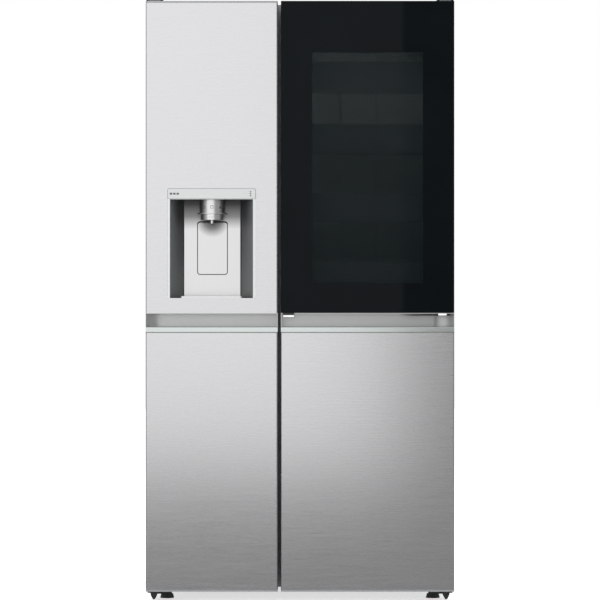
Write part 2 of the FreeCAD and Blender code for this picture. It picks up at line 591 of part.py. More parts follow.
def pocket(x0, x1, outer_side):
    """Handle channel across one door: flat back, with a curved run-out at the outer end."""
    y_back = FACE_Y + POCKET_DEPTH
    body = box(x0, x1, FACE_Y, y_back + POCKET_WALL, TRIM_Z0, POCKET_Z1)
    r = POCKET_END
    xe = x0 if outer_side < 0 else x1
    inward = -outer_side
    start = V(xe, FACE_Y - 1, 0)
    a = V(xe, FACE_Y + 4, 0)
    mid = V(xe + inward * r * 0.45, FACE_Y + 4 + (POCKET_DEPTH - 4) * 0.72, 0)
    b = V(xe + inward * r * 1.5, y_back, 0)
    other = x1 if outer_side < 0 else x0
    c = V(other + outer_side * POCKET_WALL, y_back, 0)
    d = V(other + outer_side * POCKET_WALL, FACE_Y - 1, 0)
    wire = Part.Wire([Part.LineSegment(start, a).toShape(), Part.Arc(a, mid, b).toShape(),
                      Part.LineSegment(b, c).toShape(), Part.LineSegment(c, d).toShape(),
                      Part.LineSegment(d, start).toShape()])
    hollow = Part.Face(wire).extrude(V(0, 0, POCKET_Z1 - POCKET_WALL - POCKET_Z0 + 2))
    hollow.translate(V(0, 0, POCKET_Z0 - 2))
    rail = box(x0 - 1, x1 + 1, FACE_Y - 1, FACE_Y + 18, TRIM_Z0 - 1, POCKET_Z0)
    return cut(body, hollow, rail)


def trim_strip(x0, x1):
    """Bright pull strip with a rounded front, below the pocket."""
    strip = box(x0, x1, FACE_Y, FACE_Y + 17.8, TRIM_Z0, POCKET_Z0 - 0.2)
    return round_edges(strip, 3.0, lambda e: is_along(e, X_AXIS) and e.Vertexes[0].Y < FACE_Y + 1)


def gasket(name, x_out0, x_out1, z0, z1, y0, y1, width):
    """Magnetic gasket: a ring with a bellows groove round it."""
    ring = box(x_out0, x_out1, y0, y1, z0, z1)
    ring = cut(ring, box(x_out0 + width, x_out1 - width, y0 - 1, y1 + 1, z0 + width, z1 - width))
    mid = (y0 + y1) / 2
    groove = box(x_out0 - 1, x_out1 + 1, mid - 2, mid + 2, z0 - 1, z1 + 1)
    groove = cut(groove, box(x_out0 + 3, x_out1 - 3, mid - 3, mid + 3, z0 + 3, z1 - 3))
    save(name, cut(ring, groove))


def door_bins(x0, x1, y0, y1, levels, height):
    """Bins with a raised front guard, hung between the door's ribs."""
    bins = []
    for z in levels:
        bins.append(tray(x0, x1, y0, y1, z, z + height, BIN_WALL, 8.0))
    return bins


def door_caps(x0, x1, px):
    """Plastic end caps at the top and bottom of a door, with hinge bores."""
    caps = []
    for z0, z1 in ((DOOR_Z0, DOOR_Z0 + 6), (DOOR_Z1 - 6, DOOR_Z1)):
        cap = box(x0, x1, FACE_Y + 0.5, DOOR_BACK, z0, z1)
        cap = round_edges(cap, EDGE_R, lambda e: is_along(e, Z_AXIS) and e.Vertexes[0].Y < FACE_Y + 1)
        caps.append(cut(cap, *hinge_bores(px, [(z0 - 1, z1 + 1)])))
    return caps


def chute_solid(grow):
    """Slanted passage from the ice bin down to the nozzle."""
    wires = []
    for y, z in ((CHUTE_LOW_Y, CHUTE_LOW_Z - grow), (CHUTE_TOP_Y, CHUTE_TOP_Z)):
        h = CHUTE_HALF + grow
        pts = [V(DISP_CX - h, y - h * 0.8, z), V(DISP_CX + h, y - h * 0.8, z),
               V(DISP_CX + h, y + h * 0.8, z), V(DISP_CX - h, y + h * 0.8, z), V(DISP_CX - h, y - h * 0.8, z)]
        wires.append(Part.makePolygon(pts))
    return Part.makeLoft(wires, True, True)


def cavity_solid(grow, depth, front=0.0):
    """Tapered dispenser cavity."""
    wires = []
    for y, taper in ((FACE_Y - front, 0.0), (FACE_Y + depth, CAVITY_TAPER)):
        x0, x1 = CAVITY_X0 + taper - grow, CAVITY_X1 - taper + grow
        z0 = DISP_Z0 + 2.5 - grow
        z1 = DISP_BAR_Z - 1 + grow
        pts = [V(x0, y, z0), V(x1, y, z0), V(x1, y, z1), V(x0, y, z1), V(x0, y, z0)]
        wires.append(Part.makePolygon(pts))
    return Part.makeLoft(wires, True, True)


def recess_solid(grow):
    """Space behind the paddle."""
    return box(DISP_CX - RECESS_HALF - grow, DISP_CX + RECESS_HALF + grow, FACE_Y + 70, RECESS_Y + grow,
               RECESS_Z[0] - grow, RECESS_Z[1] + grow)


def freezer_door():
    """Freezer door: steel panels, core, back liner, caps, gasket, bins, pocket and trim."""
    x0, x1 = -HALF_W, FREEZER_X1
    px = -PIVOT_X
    bores = hinge_bores(px, PIN_BORES)
    sheet = panel(x0, x1, DOOR_BACK, CAP_Z0, CAP_Z1, True, True)
    hole = box(DISP_X0, DISP_X1, FACE_Y - 5, FACE_Y + 20, DISP_Z0, DISP_Z1)
    hole = round_edges(hole, 5.0, lambda e: is_along(e, Y_AXIS))
    slot = box(x0 - 1, x1 + 1, FACE_Y - 1, FACE_Y + POCKET_DEPTH + POCKET_WALL, TRIM_Z0, POCKET_Z1)
    save("freezer_door_panels", cut(sheet, hole, slot))

    save("freezer_handle_pocket", pocket(x0, x1, -1))
    save("freezer_handle_trim", trim_strip(x0, x1))

    core = box(x0 + SKIN, x1 - SKIN, FACE_Y + SKIN, DOOR_BACK - 2.0, CAP_Z0, CAP_Z1)
    core = round_edges(core, EDGE_R, lambda e: is_along(e, Z_AXIS) and e.Vertexes[0].Y < FACE_Y + 2)
    bar = box(DISP_X0, DISP_X1, FACE_Y - 5, FACE_Y + 26, DISP_BAR_Z - 2, DISP_Z1)
    lip = box(DISP_X0, DISP_X1, FACE_Y - 5, FACE_Y + 6, DISP_Z0, DISP_Z1)
    core = cut(core, slot, bar, lip, cavity_solid(2.6, CAVITY_DEPTH + 2.6), recess_solid(1.6),
               chute_solid(2.2), *bores)
    save("freezer_door_core", core)

    back = box(x0 + SKIN, x1 - SKIN, DOOR_BACK - 2.0, DOOR_BACK, CAP_Z0, CAP_Z1)
    ribs = []
    bx0, bx1 = FREEZER_BIN_X
    for xr in (bx0 - 13.0, bx1 + 1.0):
        rib = box(xr, xr + 12, DOOR_BACK, CASE_Y0 + 20, LINER_Z0 + 30, LINER_Z1 - 30)
        ribs.append(round_edges(rib, 4.0, lambda e: is_along(e, Z_AXIS) and e.Vertexes[0].Y > CASE_Y0))
    save("freezer_door_liner", [cut(back, chute_solid(2.2))] + ribs + door_caps(x0, x1, px))
    gasket("freezer_door_gasket", -PIVOT_X + 0.5, FREEZER_IN_X1 + 19, LINER_Z0 - 22, LINER_Z1 + 22,
           DOOR_BACK, CASE_Y0 - 0.3, 18.0)
    save("freezer_door_bins", door_bins(bx0, bx1, DOOR_BACK, CASE_Y0 + FREEZER_BIN_D,
                                        (150.0, 400.0, 640.0, 880.0), 90.0))


def ice_system():
    """Ice maker, ice bin with its auger, chute, and the flap that closes the chute."""
    bx0, bx1 = FREEZER_BIN_X
    y0, y1 = DOOR_BACK, CASE_Y0 + FREEZER_BIN_D
    ibin = tray(bx0, bx1, y0, y1, CHUTE_TOP_Z, 1480.0, BIN_WALL, 8.0)
    mouth = box(DISP_CX - CHUTE_HALF, DISP_CX + CHUTE_HALF, y0 + BIN_WALL, CHUTE_TOP_Y + CHUTE_HALF * 0.8,
                CHUTE_TOP_Z - 1, CHUTE_TOP_Z + 5)
    shaft_y = (y0 + y1) / 2
    shaft_z = CHUTE_TOP_Z + 42.0
    sleeve = tube(8.0, 6.0, V(bx0, shaft_y, shaft_z), X_AXIS)
    ibin = fuse([ibin, sleeve])
    shaft_hole = tube(4.0 + PIN_CLEAR, 30.0, V(bx0 - 10, shaft_y, shaft_z), X_AXIS)
    save("ice_bin", cut(ibin, mouth, shaft_hole))

    rod = tube(4.0, bx1 - bx0 - 12.0, V(bx0 + 1, shaft_y, shaft_z), X_AXIS)
    discs = []
    for i in range(9):
        disc = tube(26.0, 2.0, V(0, 0, 0), X_AXIS)
        disc.rotate(V(0, 0, 0), Z_AXIS, 18)
        disc.translate(V(bx0 + 30 + i * 22.0, shaft_y, shaft_z))
        discs.append(disc)
    save("ice_auger", fuse([rod] + discs))

    maker = tray(bx0, bx1, y0, y1 - 6, 1500.0, 1560.0, 3.0, 8.0)
    cells = [box(bx0 + 20 + i * 30, bx0 + 22 + i * 30, y0 + 2, y1 - 8, 1502, 1545) for i in range(8)]
    motor = box(bx0 + 3, bx0 + 44, y0 + 2, y1 - 9, 1540, 1610)
    save("ice_maker", fuse([maker, motor] + cells))

    tube_ = cut(chute_solid(2.0), chute_solid(0.0))
    tube_ = cut(tube_, box(-450, 0, -450, 0, CHUTE_TOP_Z - 0.2, CHUTE_TOP_Z + 60))
    trim_low = box(-450, 0, -450, 0, 1000, NOZZLE_Z0 + 0.2)
    return cut(tube_, trim_low)


def dispenser(chute):
    """Dispenser: tapered cavity, control bar, nozzle, selector button, spout, paddle and drip tray."""
    cav = cavity_solid(2.4, CAVITY_DEPTH + 2.4)
    rim = box(DISP_X0 + 0.3, DISP_X1 - 0.3, FACE_Y, FACE_Y + 5.8, DISP_Z0 + 0.3, DISP_BAR_Z)
    rim = round_edges(rim, 5.0, lambda e: is_along(e, Y_AXIS) and e.Vertexes[0].Z < DISP_Z0 + 1)
    shell = fuse([cav, rim, recess_solid(1.4)])
    shell = cut(shell, cavity_solid(0.0, CAVITY_DEPTH), recess_solid(0.0), chute_solid(2.2),
                box(-450, 0, FACE_Y - 20, FACE_Y, 850, 1300),
                box(-450, 0, FACE_Y - 20, REAR_Y, DISP_BAR_Z, 1300))
    front_cut = box(CAVITY_X0, CAVITY_X1, FACE_Y - 5, FACE_Y + 3, DISP_Z0 + 2.5, DISP_BAR_Z - 1)
    save("dispenser_housing", [cut(shell, front_cut), chute])

    bar = box(DISP_X0 + 0.3, DISP_X1 - 0.3, FACE_Y, FACE_Y + 24, DISP_BAR_Z + 0.1, DISP_Z1 - 0.3)
    bar = round_edges(bar, 5.0, lambda e: is_along(e, Y_AXIS) and e.Vertexes[0].Z > DISP_Z1 - 2)
    bar = round_edges(bar, 1.2, lambda e: e.CenterOfMass.y < FACE_Y + 0.01)
    save("dispenser_control_bar", bar)

    plate = box(CAVITY_X0 + CAVITY_TAPER + 1.5, CAVITY_X1 - CAVITY_TAPER - 1.5,
                FACE_Y + CAVITY_DEPTH - 2.5, FACE_Y + CAVITY_DEPTH - 0.05, DISP_Z0 + 2.8, DISP_BAR_Z - 1.2)
    half = PADDLE_HALF + PADDLE_GAP
    opening = box(DISP_CX - half, DISP_CX + half, FACE_Y, FACE_Y + 100,
                  PADDLE_Z0 - PADDLE_GAP, PADDLE_Z1 + 4.2)
    opening = round_edges(opening, 9.0, lambda e: is_along(e, Y_AXIS))
    save("dispenser_back_panel", cut(plate, opening, chute_solid(2.4)))

    block = tube(NOZZLE_R, DISP_BAR_Z - 1.2 - NOZZLE_Z0, V(DISP_CX, NOZZLE_Y, NOZZLE_Z0))
    rear = box(DISP_CX - NOZZLE_R, DISP_CX + NOZZLE_R, NOZZLE_Y, FACE_Y + CAVITY_DEPTH - 2.7,
               NOZZLE_Z0, DISP_BAR_Z - 1.2)
    ring = tube(FLANGE_R, 3.0, V(DISP_CX, NOZZLE_Y, NOZZLE_Z0 - 1.5))
    nozzle = fuse([block, rear, ring]).common(box(-450, 0, FACE_Y, FACE_Y + CAVITY_DEPTH - 2.7, 1000, 1300))
    nozzle = cut(nozzle, chute_solid(2.2))

    band = tube(36.5, 17.0, V(DISP_CX, NOZZLE_Y, NOZZLE_Z0 - 19.0))
    band = cut(band, tube(32.5, 30.0, V(DISP_CX, NOZZLE_Y, NOZZLE_Z0 - 25)),
               box(-450, 0, NOZZLE_Y - 14, REAR_Y, 1000, 1300))
    save("selector_button", band)

    spout = tube(6.0, 13.0, V(DISP_CX, NOZZLE_Y - 20, NOZZLE_Z0 - 30.0))
    neck = tube(3.8, 32.0, V(DISP_CX, NOZZLE_Y - 20, NOZZLE_Z0 - 30.0))
    bore = tube(2.5, 60.0, V(DISP_CX, NOZZLE_Y - 20, NOZZLE_Z0 - 32.0))
    arm = box(DISP_CX - 5, DISP_CX + 5, NOZZLE_Y - 26, NOZZLE_Y - 15, NOZZLE_Z0 - 4, NOZZLE_Z0 - 1.5)
    save("nozzle_housing", [nozzle, cut(fuse([spout, neck, arm]), bore)])

    paddle = box(DISP_CX - PADDLE_HALF, DISP_CX + PADDLE_HALF, PADDLE_Y, PADDLE_Y + 3.0, PADDLE_Z0, PADDLE_Z1)
    paddle = round_edges(paddle, 7.0, lambda e: is_along(e, Y_AXIS))
    slot = box(DISP_CX - 12, DISP_CX + 12, PADDLE_Y - 1, PADDLE_Y + 1.2, PADDLE_Z1 - 13, PADDLE_Z1 - 10)
    knuckle = tube(2.6, 2 * PADDLE_HALF - 18, V(DISP_CX - PADDLE_HALF + 9, PADDLE_Y + 2, PADDLE_Z1), X_AXIS)
    save("dispenser_paddle", cut(fuse([paddle, knuckle]), slot))

    tray_ = box(CAVITY_X0 + 30, CAVITY_X1 - 30, FACE_Y + 1.5, FACE_Y + 58, DISP_Z0 + 2.8, DISP_Z0 + 8.5)
    tray_ = round_edges(tray_, 8.0, lambda e: is_along(e, Z_AXIS) and e.Vertexes[0].Y < FACE_Y + 5)
    slots = [box(CAVITY_X0 + 44 + i * 10, CAVITY_X0 + 48 + i * 10, FACE_Y + 10, FACE_Y + 50,
                 DISP_Z0 + 4.8, DISP_Z0 + 20) for i in range(16)]
    save("drip_tray", cut(tray_, *slots))

    flap = box(DISP_CX - 22, DISP_CX + 22, FLAP_Y + 1.4, FLAP_Y + 30, FLAP_Z - 1, FLAP_Z + 1)
    pin = tube(1.8, 44.0, V(DISP_CX - 22, FLAP_Y, FLAP_Z), X_AXIS)
    web = box(DISP_CX - 22, DISP_CX + 22, FLAP_Y, FLAP_Y + 3, FLAP_Z - 1, FLAP_Z + 1)
    save("chute_flap", fuse([flap, pin, web]))


def hinge_foot(grow):
    """Foot of the glass door's lower hinge; grow makes the clearance for it."""
    pts = []
    middle_x, middle_z = FOOT_MIDDLE
    for x, z in FOOT_WEDGE:
        grow_x = grow if x > middle_x else -grow
        grow_z = grow if z > middle_z else -grow
        pts.append(V(x + grow_x, FACE_Y + 1.0 - grow, z + grow_z))
    wedge = Part.Face(Part.makePolygon(pts + [pts[0]]))
    return wedge.extrude(V(0, 21.0 + 2 * grow, 0))


def fridge_door():
    """Fridge door behind and below the glass outer door."""
    x0, x1 = FRIDGE_X0, HALF_W
    bores = hinge_bores(PIVOT_X, PIN_BORES)
    slot = box(x0 - 1, x1 + 1, FACE_Y - 1, FACE_Y + POCKET_DEPTH + POCKET_WALL, TRIM_Z0, POCKET_Z1 + 1)
    save("fridge_door_lower_panel", cut(panel(x0, x1, DOOR_BACK, CAP_Z0, POCKET_Z1, True, True), slot))
    whole = pocket(x0, x1, 1)
    y_back = FACE_Y + POCKET_DEPTH
    floor_z = POCKET_Z0 - 2
    roof_z = POCKET_Z1 - POCKET_WALL
    foot = hinge_foot(0.3)
    pieces = [whole.common(box(x0, x1, FACE_Y, y_back + POCKET_WALL, TRIM_Z0, floor_z)),
              whole.common(box(x0, x1, y_back, y_back + POCKET_WALL, floor_z, roof_z)),
              whole.common(box(x0, x0 + POCKET_WALL, FACE_Y, y_back, floor_z, roof_z)),
              cut(whole.common(box(x0 + POCKET_WALL, x1, FACE_Y, y_back, floor_z, roof_z)), foot),
              box(x0, LATCH_X0 - 2, FACE_Y, y_back, roof_z, POCKET_Z1),
              box(LATCH_X0 - 2, LATCH_X1 + 2, FACE_Y + 24, y_back, roof_z, POCKET_Z1),
              cut(box(LATCH_X1 + 2, x1, FACE_Y, y_back, roof_z, POCKET_Z1), foot),
              box(x0 + SKIN, x1 - SKIN, y_back, INNER_Y0, roof_z, POCKET_Z1)]
    save("fridge_handle_pocket", pieces)
    save("fridge_handle_trim", trim_strip(x0, x1))
    caps = []
    low = box(x0, x1, FACE_Y + 0.5, DOOR_BACK, DOOR_Z0, CAP_Z0)
    low = round_edges(low, EDGE_R, lambda e: is_along(e, Z_AXIS) and e.Vertexes[0].Y < FACE_Y + 1)
    top = box(x0, x1, INNER_Y0, DOOR_BACK, CAP_Z1, DOOR_Z1)
    for cap in (low, top):
        caps.append(cut(cap, *bores))

    lower = box(x0 + SKIN, x1 - SKIN, FACE_Y + SKIN, DOOR_BACK - 2.0, CAP_Z0, POCKET_Z1)
    lower = round_edges(lower, EDGE_R, lambda e: is_along(e, Z_AXIS) and e.Vertexes[0].Y < FACE_Y + 2)
    upper = box(x0 + 2.0, x1 - 2.0, INNER_Y0 + 2, DOOR_BACK - 2.0, POCKET_Z1 - 1, CAP_Z1)
    port = box(PORT[0] - 2, PORT[1] + 2, FACE_Y - 5, 0, PORT[2] - 2, PORT[3] + 2)
    top_of_pocket = box(x0 - 1, x1 + 1, FACE_Y, INNER_Y0, roof_z, POCKET_Z1 + 1)
    foam = cut(fuse([cut(lower, slot, top_of_pocket), upper]), port, *bores)
    pours = []
    for low, high in ((0.0, TRIM_Z0), (TRIM_Z0, roof_z), (roof_z, PORT[2] - 2), (PORT[3] + 2, DOOR_Z1)):
        pours.append(foam.common(box(x0, x1, FACE_Y, 0, low, high)))
    for left, right in ((x0, PORT[0]), (PORT[1], x1)):
        pours.append(foam.common(box(left, right, FACE_Y, 0, PORT[2] - 2, PORT[3] + 2)))
    save("fridge_door_core", pours)

    frame = box(x0, x1, INNER_Y0, DOOR_BACK - 2.2, POCKET_Z1, CAP_Z1)
    hollow = box(x0 + 2, x1 - 2, INNER_Y0 + 2, DOOR_BACK, POCKET_Z1 - 1, CAP_Z1 + 1)
    sleeve = box(PORT[0] - 2, PORT[1] + 2, INNER_Y0 + 1, DOOR_BACK - 2.2, PORT[2] - 2, PORT[3] + 2)
    way = box(PORT[0], PORT[1], FACE_Y, 0, PORT[2], PORT[3])
    frame = cut(fuse([cut(frame, hollow), sleeve]), way, *bores)

    ribs = []
    bx0, bx1 = FRIDGE_BIN_X
    for xr in (bx0 - 13.0, bx1 + 1.0):
        rib = box(xr, xr + 12, DOOR_BACK, CASE_Y0 + 20, LINER_Z0 + 30, LINER_Z1 - 30)
        ribs.append(round_edges(rib, 4.0, lambda e: is_along(e, Z_AXIS) and e.Vertexes[0].Y > CASE_Y0))
    strips = [box(x0 + SKIN, x1 - SKIN, DOOR_BACK - 2.0, DOOR_BACK, CAP_Z0, PORT[2]),
              box(x0 + SKIN, x1 - SKIN, DOOR_BACK - 2.0, DOOR_BACK, PORT[3], CAP_Z1),
              box(x0 + SKIN, PORT[0], DOOR_BACK - 2.0, DOOR_BACK, PORT[2], PORT[3]),
              box(PORT[1], x1 - SKIN, DOOR_BACK - 2.0, DOOR_BACK, PORT[2], PORT[3])]
    save("fridge_door_frame", [frame] + strips + ribs + caps)
    gasket("fridge_door_gasket", FRIDGE_IN_X0 - 21, PIVOT_X - 0.5, LINER_Z0 - 22, LINER_Z1 + 22,
           DOOR_BACK, CASE_Y0 - 0.3, 18.0)
    bins = door_bins(bx0, bx1, DOOR_BACK, CASE_Y0 + FRIDGE_BIN_D, (150.0, 400.0, 640.0), 95.0)
    bins += door_bins(PORT[0], PORT[1] - 3.0, INNER_Y0 + 8, CASE_Y0 + FRIDGE_BIN_D - 10,
                      (927.0, 1130.0, 1335.0, 1520.0), 85.0)
    save("fridge_door_bins", bins)


def glass_door():
    """Glass outer door: frame, front glass, inner pane, seal, hinges and latch."""
    x0, x1 = FRIDGE_X0, HALF_W
    z0, z1 = GLASS_Z0, DOOR_Z1
    front = box(x0, x1, FACE_Y, FACE_Y + 4, z0, z1)
    front = round_edges(front, 1.5, lambda e: e.CenterOfMass.y < FACE_Y + 0.01)
    frame = box(x0 + 0.8, x1 - 0.8, FACE_Y + 4, GLASS_BACK - 5, z0 + 0.6, z1 - 0.6)
    wx0, wx1, wz0, wz1 = WINDOW
    hole = box(wx0, wx1, FACE_Y, 0, wz0, wz1)
    hole = round_edges(hole, 10.0, lambda e: is_along(e, Y_AXIS))
    latch_way = box(LATCH_X0 - 0.6, LATCH_X1 + 0.6, FACE_Y, GLASS_BACK - 10, z0 - 5, z0 + 7)
    lug_pins = []
    for low, high in ((z0 + 2, z0 + HINGE_NOTCH + 14), (z1 - HINGE_NOTCH - 14, z1 - 2)):
        lug_pins.append(tube(4.0 + PIN_CLEAR, high - low, V(GLASS_HINGE_X, GLASS_HINGE_Y, low)))
    for low, high in ((z0 - 1, z0 + HINGE_NOTCH), (z1 - HINGE_NOTCH, z1 + 1)):
        lug_pins.append(box(GLASS_HINGE_X - 22, x1 + 1, FACE_Y + 4, GLASS_BACK, low, high))
    save("glass_door_frame", cut(frame, hole, latch_way, *lug_pins))
    pane = box(wx0 - 12, wx1 + 12, GLASS_BACK - 5, GLASS_BACK - 1, wz0 - 12, wz1 + 12)
    save("glass_door_panes", [front, pane])
    ring = box(PORT[0] - 34, PORT[1] + 34, GLASS_BACK - 5, GLASS_BACK + 4.6, PORT[2] - 34, PORT[3] + 34)
    ring = cut(ring, box(PORT[0] - 20, PORT[1] + 20, GLASS_BACK - 10, GLASS_BACK + 10,
                         PORT[2] - 20, PORT[3] + 20))
    save("glass_door_gasket", ring)
    lugs = []
    for plate_z, pin_z, flange_z in ((z0 + 1.6, z0 + 2.6, z0 + 1.6),
                                     (z1 - 3.8, z1 - HINGE_NOTCH - 10, z1 - 41.8)):
        plate = box(GLASS_HINGE_X - 8, GLASS_HINGE_X + 8, GLASS_HINGE_Y - 7, INNER_Y0, plate_z, plate_z + 2.2)
        plate = round_edges(plate, 6.0, lambda e: is_along(e, Z_AXIS) and e.Vertexes[0].Y < GLASS_HINGE_Y)
        flange = box(GLASS_HINGE_X - 8, GLASS_HINGE_X + 8, INNER_Y0 - 2, INNER_Y0, flange_z, flange_z + 40.2)
        pin = tube(4.0, HINGE_NOTCH + 8, V(GLASS_HINGE_X, GLASS_HINGE_Y, pin_z))
        lugs.append(fuse([plate, pin, flange]))
    save("glass_door_hinges", lugs + [hinge_foot(0.0)])
    tab = box(LATCH_X0, LATCH_X1, FACE_Y + 5, GLASS_BACK - 12, z0 - 7.0, z0 + 4)
    lip = box(LATCH_X0, LATCH_X1, FACE_Y + 4.4, FACE_Y + 9, z0 - 12.0, z0 - 0.2)
    save("glass_door_latch", fuse([tab, lip]))


outer_case()
cabinet_shell()
base_frame()
feet_and_rollers()
hinges()
compressor()
condenser()
rear_cover()
evaporator()
air_duct()
drawers(shelves())
small_parts()
freezer_door()
dispenser(ice_system())
fridge_door()
glass_door()
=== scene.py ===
"""Looks of a side by side refrigerator with a door-in-door glass panel and a dispenser."""
import bpy
import bmesh
import math
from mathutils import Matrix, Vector


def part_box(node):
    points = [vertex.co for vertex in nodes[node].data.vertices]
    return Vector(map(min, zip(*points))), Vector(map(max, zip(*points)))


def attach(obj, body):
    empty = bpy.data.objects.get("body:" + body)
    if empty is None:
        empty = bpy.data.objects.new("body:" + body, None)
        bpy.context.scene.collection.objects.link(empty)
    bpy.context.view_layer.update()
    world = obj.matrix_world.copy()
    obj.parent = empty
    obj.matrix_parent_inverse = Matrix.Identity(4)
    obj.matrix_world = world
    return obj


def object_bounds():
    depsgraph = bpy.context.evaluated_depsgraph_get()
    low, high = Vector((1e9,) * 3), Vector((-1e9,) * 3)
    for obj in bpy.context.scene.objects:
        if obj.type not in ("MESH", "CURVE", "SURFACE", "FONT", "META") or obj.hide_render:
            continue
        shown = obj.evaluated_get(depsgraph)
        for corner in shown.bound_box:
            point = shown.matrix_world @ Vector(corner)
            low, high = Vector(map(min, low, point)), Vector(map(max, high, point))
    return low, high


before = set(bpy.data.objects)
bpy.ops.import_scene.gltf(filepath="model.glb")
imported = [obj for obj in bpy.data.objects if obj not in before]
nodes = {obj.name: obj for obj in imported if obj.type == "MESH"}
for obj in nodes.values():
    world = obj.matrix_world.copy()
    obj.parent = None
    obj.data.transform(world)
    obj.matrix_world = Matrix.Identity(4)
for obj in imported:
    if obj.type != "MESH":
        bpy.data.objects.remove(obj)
cad_low, cad_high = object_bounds()

# ---------------------------------------------------------------- places, in metres, from the frame

FACE_Y = cad_low.y
BAR_LOW, BAR_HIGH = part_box("dispenser_control_bar")
NOZZLE_LOW, NOZZLE_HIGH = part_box("nozzle_housing")
BUTTON_LOW, BUTTON_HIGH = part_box("selector_button")
REAR_LOW, REAR_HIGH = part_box("rear_cover")
DOOR_BACK_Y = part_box("freezer_door_panels")[1].y
CASE_BACK_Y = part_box("outer_case")[1].y
COVER_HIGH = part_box("hinge_covers")[1]
LATCH_LOW_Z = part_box("glass_door_latch")[0].z
DISPENSER_X = (BAR_LOW.x + BAR_HIGH.x) / 2
NOZZLE_R = 0.0385
NOZZLE_Y = FACE_Y + 0.052           # its axis
ICONS_Z = 1.172
ICONS_REACH = 0.0265                # from the middle symbol to the ones beside it
BUTTON_R = 0.0365
MARK = 0.0002                       # how far printed marks stand proud
WINDOW_X = (0.0355, 0.364)          # clear part of the glass outer door
WINDOW_Z = (0.9466, 1.6296)
FOOT_PLATE_X = (0.4095, 0.4335)     # end plate on the foot of the glass door's lower hinge
FOOT_PLATE_Z = (0.8508, 0.8562)
RIB_WALLS = ((-0.394, 1), (-0.091, -1), (-0.031, 1), (0.408, -1))   # x of each side wall, way inwards
RIB_Y = (-0.150, 0.190)
RIB_Z0 = 0.62
RIB_PITCH = 0.044
CAMERA_AWAY = 8.0                   # from the door faces
VIEW_HEIGHT = 0.896
VIEW_WIDTH = 1.7748                 # what the frame takes in at the door faces
SENSOR = 36.0
DIM = 0.26                          # studio brightness in the object's polish, low down
OVERHEAD = 0.65                     # the same, high up


# ---------------------------------------------------------------- material helpers


class Paint:
    """A node material with its own small set of helpers."""

    def __init__(self, name):
        self.mat = bpy.data.materials.new(name)
        self.mat.use_nodes = True
        self.tree = self.mat.node_tree
        self.bsdf = self.tree.nodes["Principled BSDF"]
        self.coord = self.add("ShaderNodeTexCoord").outputs["Object"]

    def add(self, kind, **values):
        """New node, with its properties set."""
        node = self.tree.nodes.new(kind)
        for key, value in values.items():
            setattr(node, key, value)
        return node

    def link(self, a, b):
        """Joins an output to an input."""
        self.tree.links.new(a, b)

    def set(self, **values):
        """Sets shader inputs by their names, with _ for a space."""
        for key, value in values.items():
            self.bsdf.inputs[key.replace("_", " ")].default_value = value

    def noise(self, scale, stretch=(1, 1, 1), detail=4.0, rough=0.6):
        """Noise in object space, stretched along an axis."""
        mapping = self.add("ShaderNodeMapping")
        mapping.inputs["Scale"].default_value = stretch
        self.link(self.coord, mapping.inputs["Vector"])
        node = self.add("ShaderNodeTexNoise")
        node.inputs["Scale"].default_value = scale
        node.inputs["Detail"].default_value = detail
        node.inputs["Roughness"].default_value = rough
        self.link(mapping.outputs["Vector"], node.inputs["Vector"])
        return node.outputs["Fac"]

    def spread(self, value, low, high, start=0.3, end=0.7):
        """Maps a value to a range."""
        node = self.add("ShaderNodeMapRange")
        for key, number in (("From Min", start), ("From Max", end), ("To Min", low), ("To Max", high)):
            node.inputs[key].default_value = number
        self.link(value, node.inputs["Value"])
        return node.outputs["Result"]

    def ramp(self, value, stops):
        """Colour ramp."""
        node = self.add("ShaderNodeValToRGB")
        band = node.color_ramp
        while len(band.elements) < len(stops):
            band.elements.new(0.5)
        for element, (place, colour) in zip(band.elements, stops):
            element.position = place
            element.color = (*colour, 1.0)
        self.link(value, node.inputs["Fac"])
        return node.outputs["Color"]

    def mix(self, factor, a, b):
        """Mixes two colours, each an output or a plain colour."""
        node = self.add("ShaderNodeMix", data_type="RGBA")
        self.link(factor, node.inputs[0])
        for socket, value in ((node.inputs[6], a), (node.inputs[7], b)):
            if isinstance(value, tuple):
                socket.default_value = (*value, 1.0)
            else:
                self.link(value, socket)
        return node.outputs[2]

    def math(self, operation, a, b=None):
        """One arithmetic step."""
        node = self.add("ShaderNodeMath", operation=operation)
        for socket, value in zip(node.inputs, (a, b)):
            if value is None:
                continue
            if isinstance(value, (int, float)):
                socket.default_value = value
            else:
                self.link(value, socket)
        return node.outputs[0]

    def axis(self, letter):
        """One coordinate of the surface point, in metres."""
        node = self.add("ShaderNodeSeparateXYZ")
        self.link(self.coord, node.inputs[0])
        return node.outputs["XYZ".index(letter)]

    def above(self, letter, limit):
        """1 where a coordinate is above a limit, else 0."""
        return self.math("GREATER_THAN", self.axis(letter), limit)

    def patch(self, x, z, half_w, half_h):
        """1 inside a rectangle seen from the front, else 0."""
        off_x = self.math("SUBTRACT", self.math("ABSOLUTE", self.math("SUBTRACT", self.axis("X"), x)), half_w)
        off_z = self.math("SUBTRACT", self.math("ABSOLUTE", self.math("SUBTRACT", self.axis("Z"), z)), half_h)
        return self.math("LESS_THAN", self.math("MAXIMUM", off_x, off_z), 0.0)

    def bump(self, height, strength, distance=0.001):
        """Bump from a height value."""
        node = self.add("ShaderNodeBump")
        node.inputs["Strength"].default_value = strength
        node.inputs["Distance"].default_value = distance
        self.link(height, node.inputs["Height"])
        self.link(node.outputs["Normal"], self.bsdf.inputs["Normal"])

    def colour(self, output):
        """Colour input."""
        self.link(output, self.bsdf.inputs["Base Color"])

    def roughness(self, output):
        """Roughness input."""
        self.link(output, self.bsdf.inputs["Roughness"])


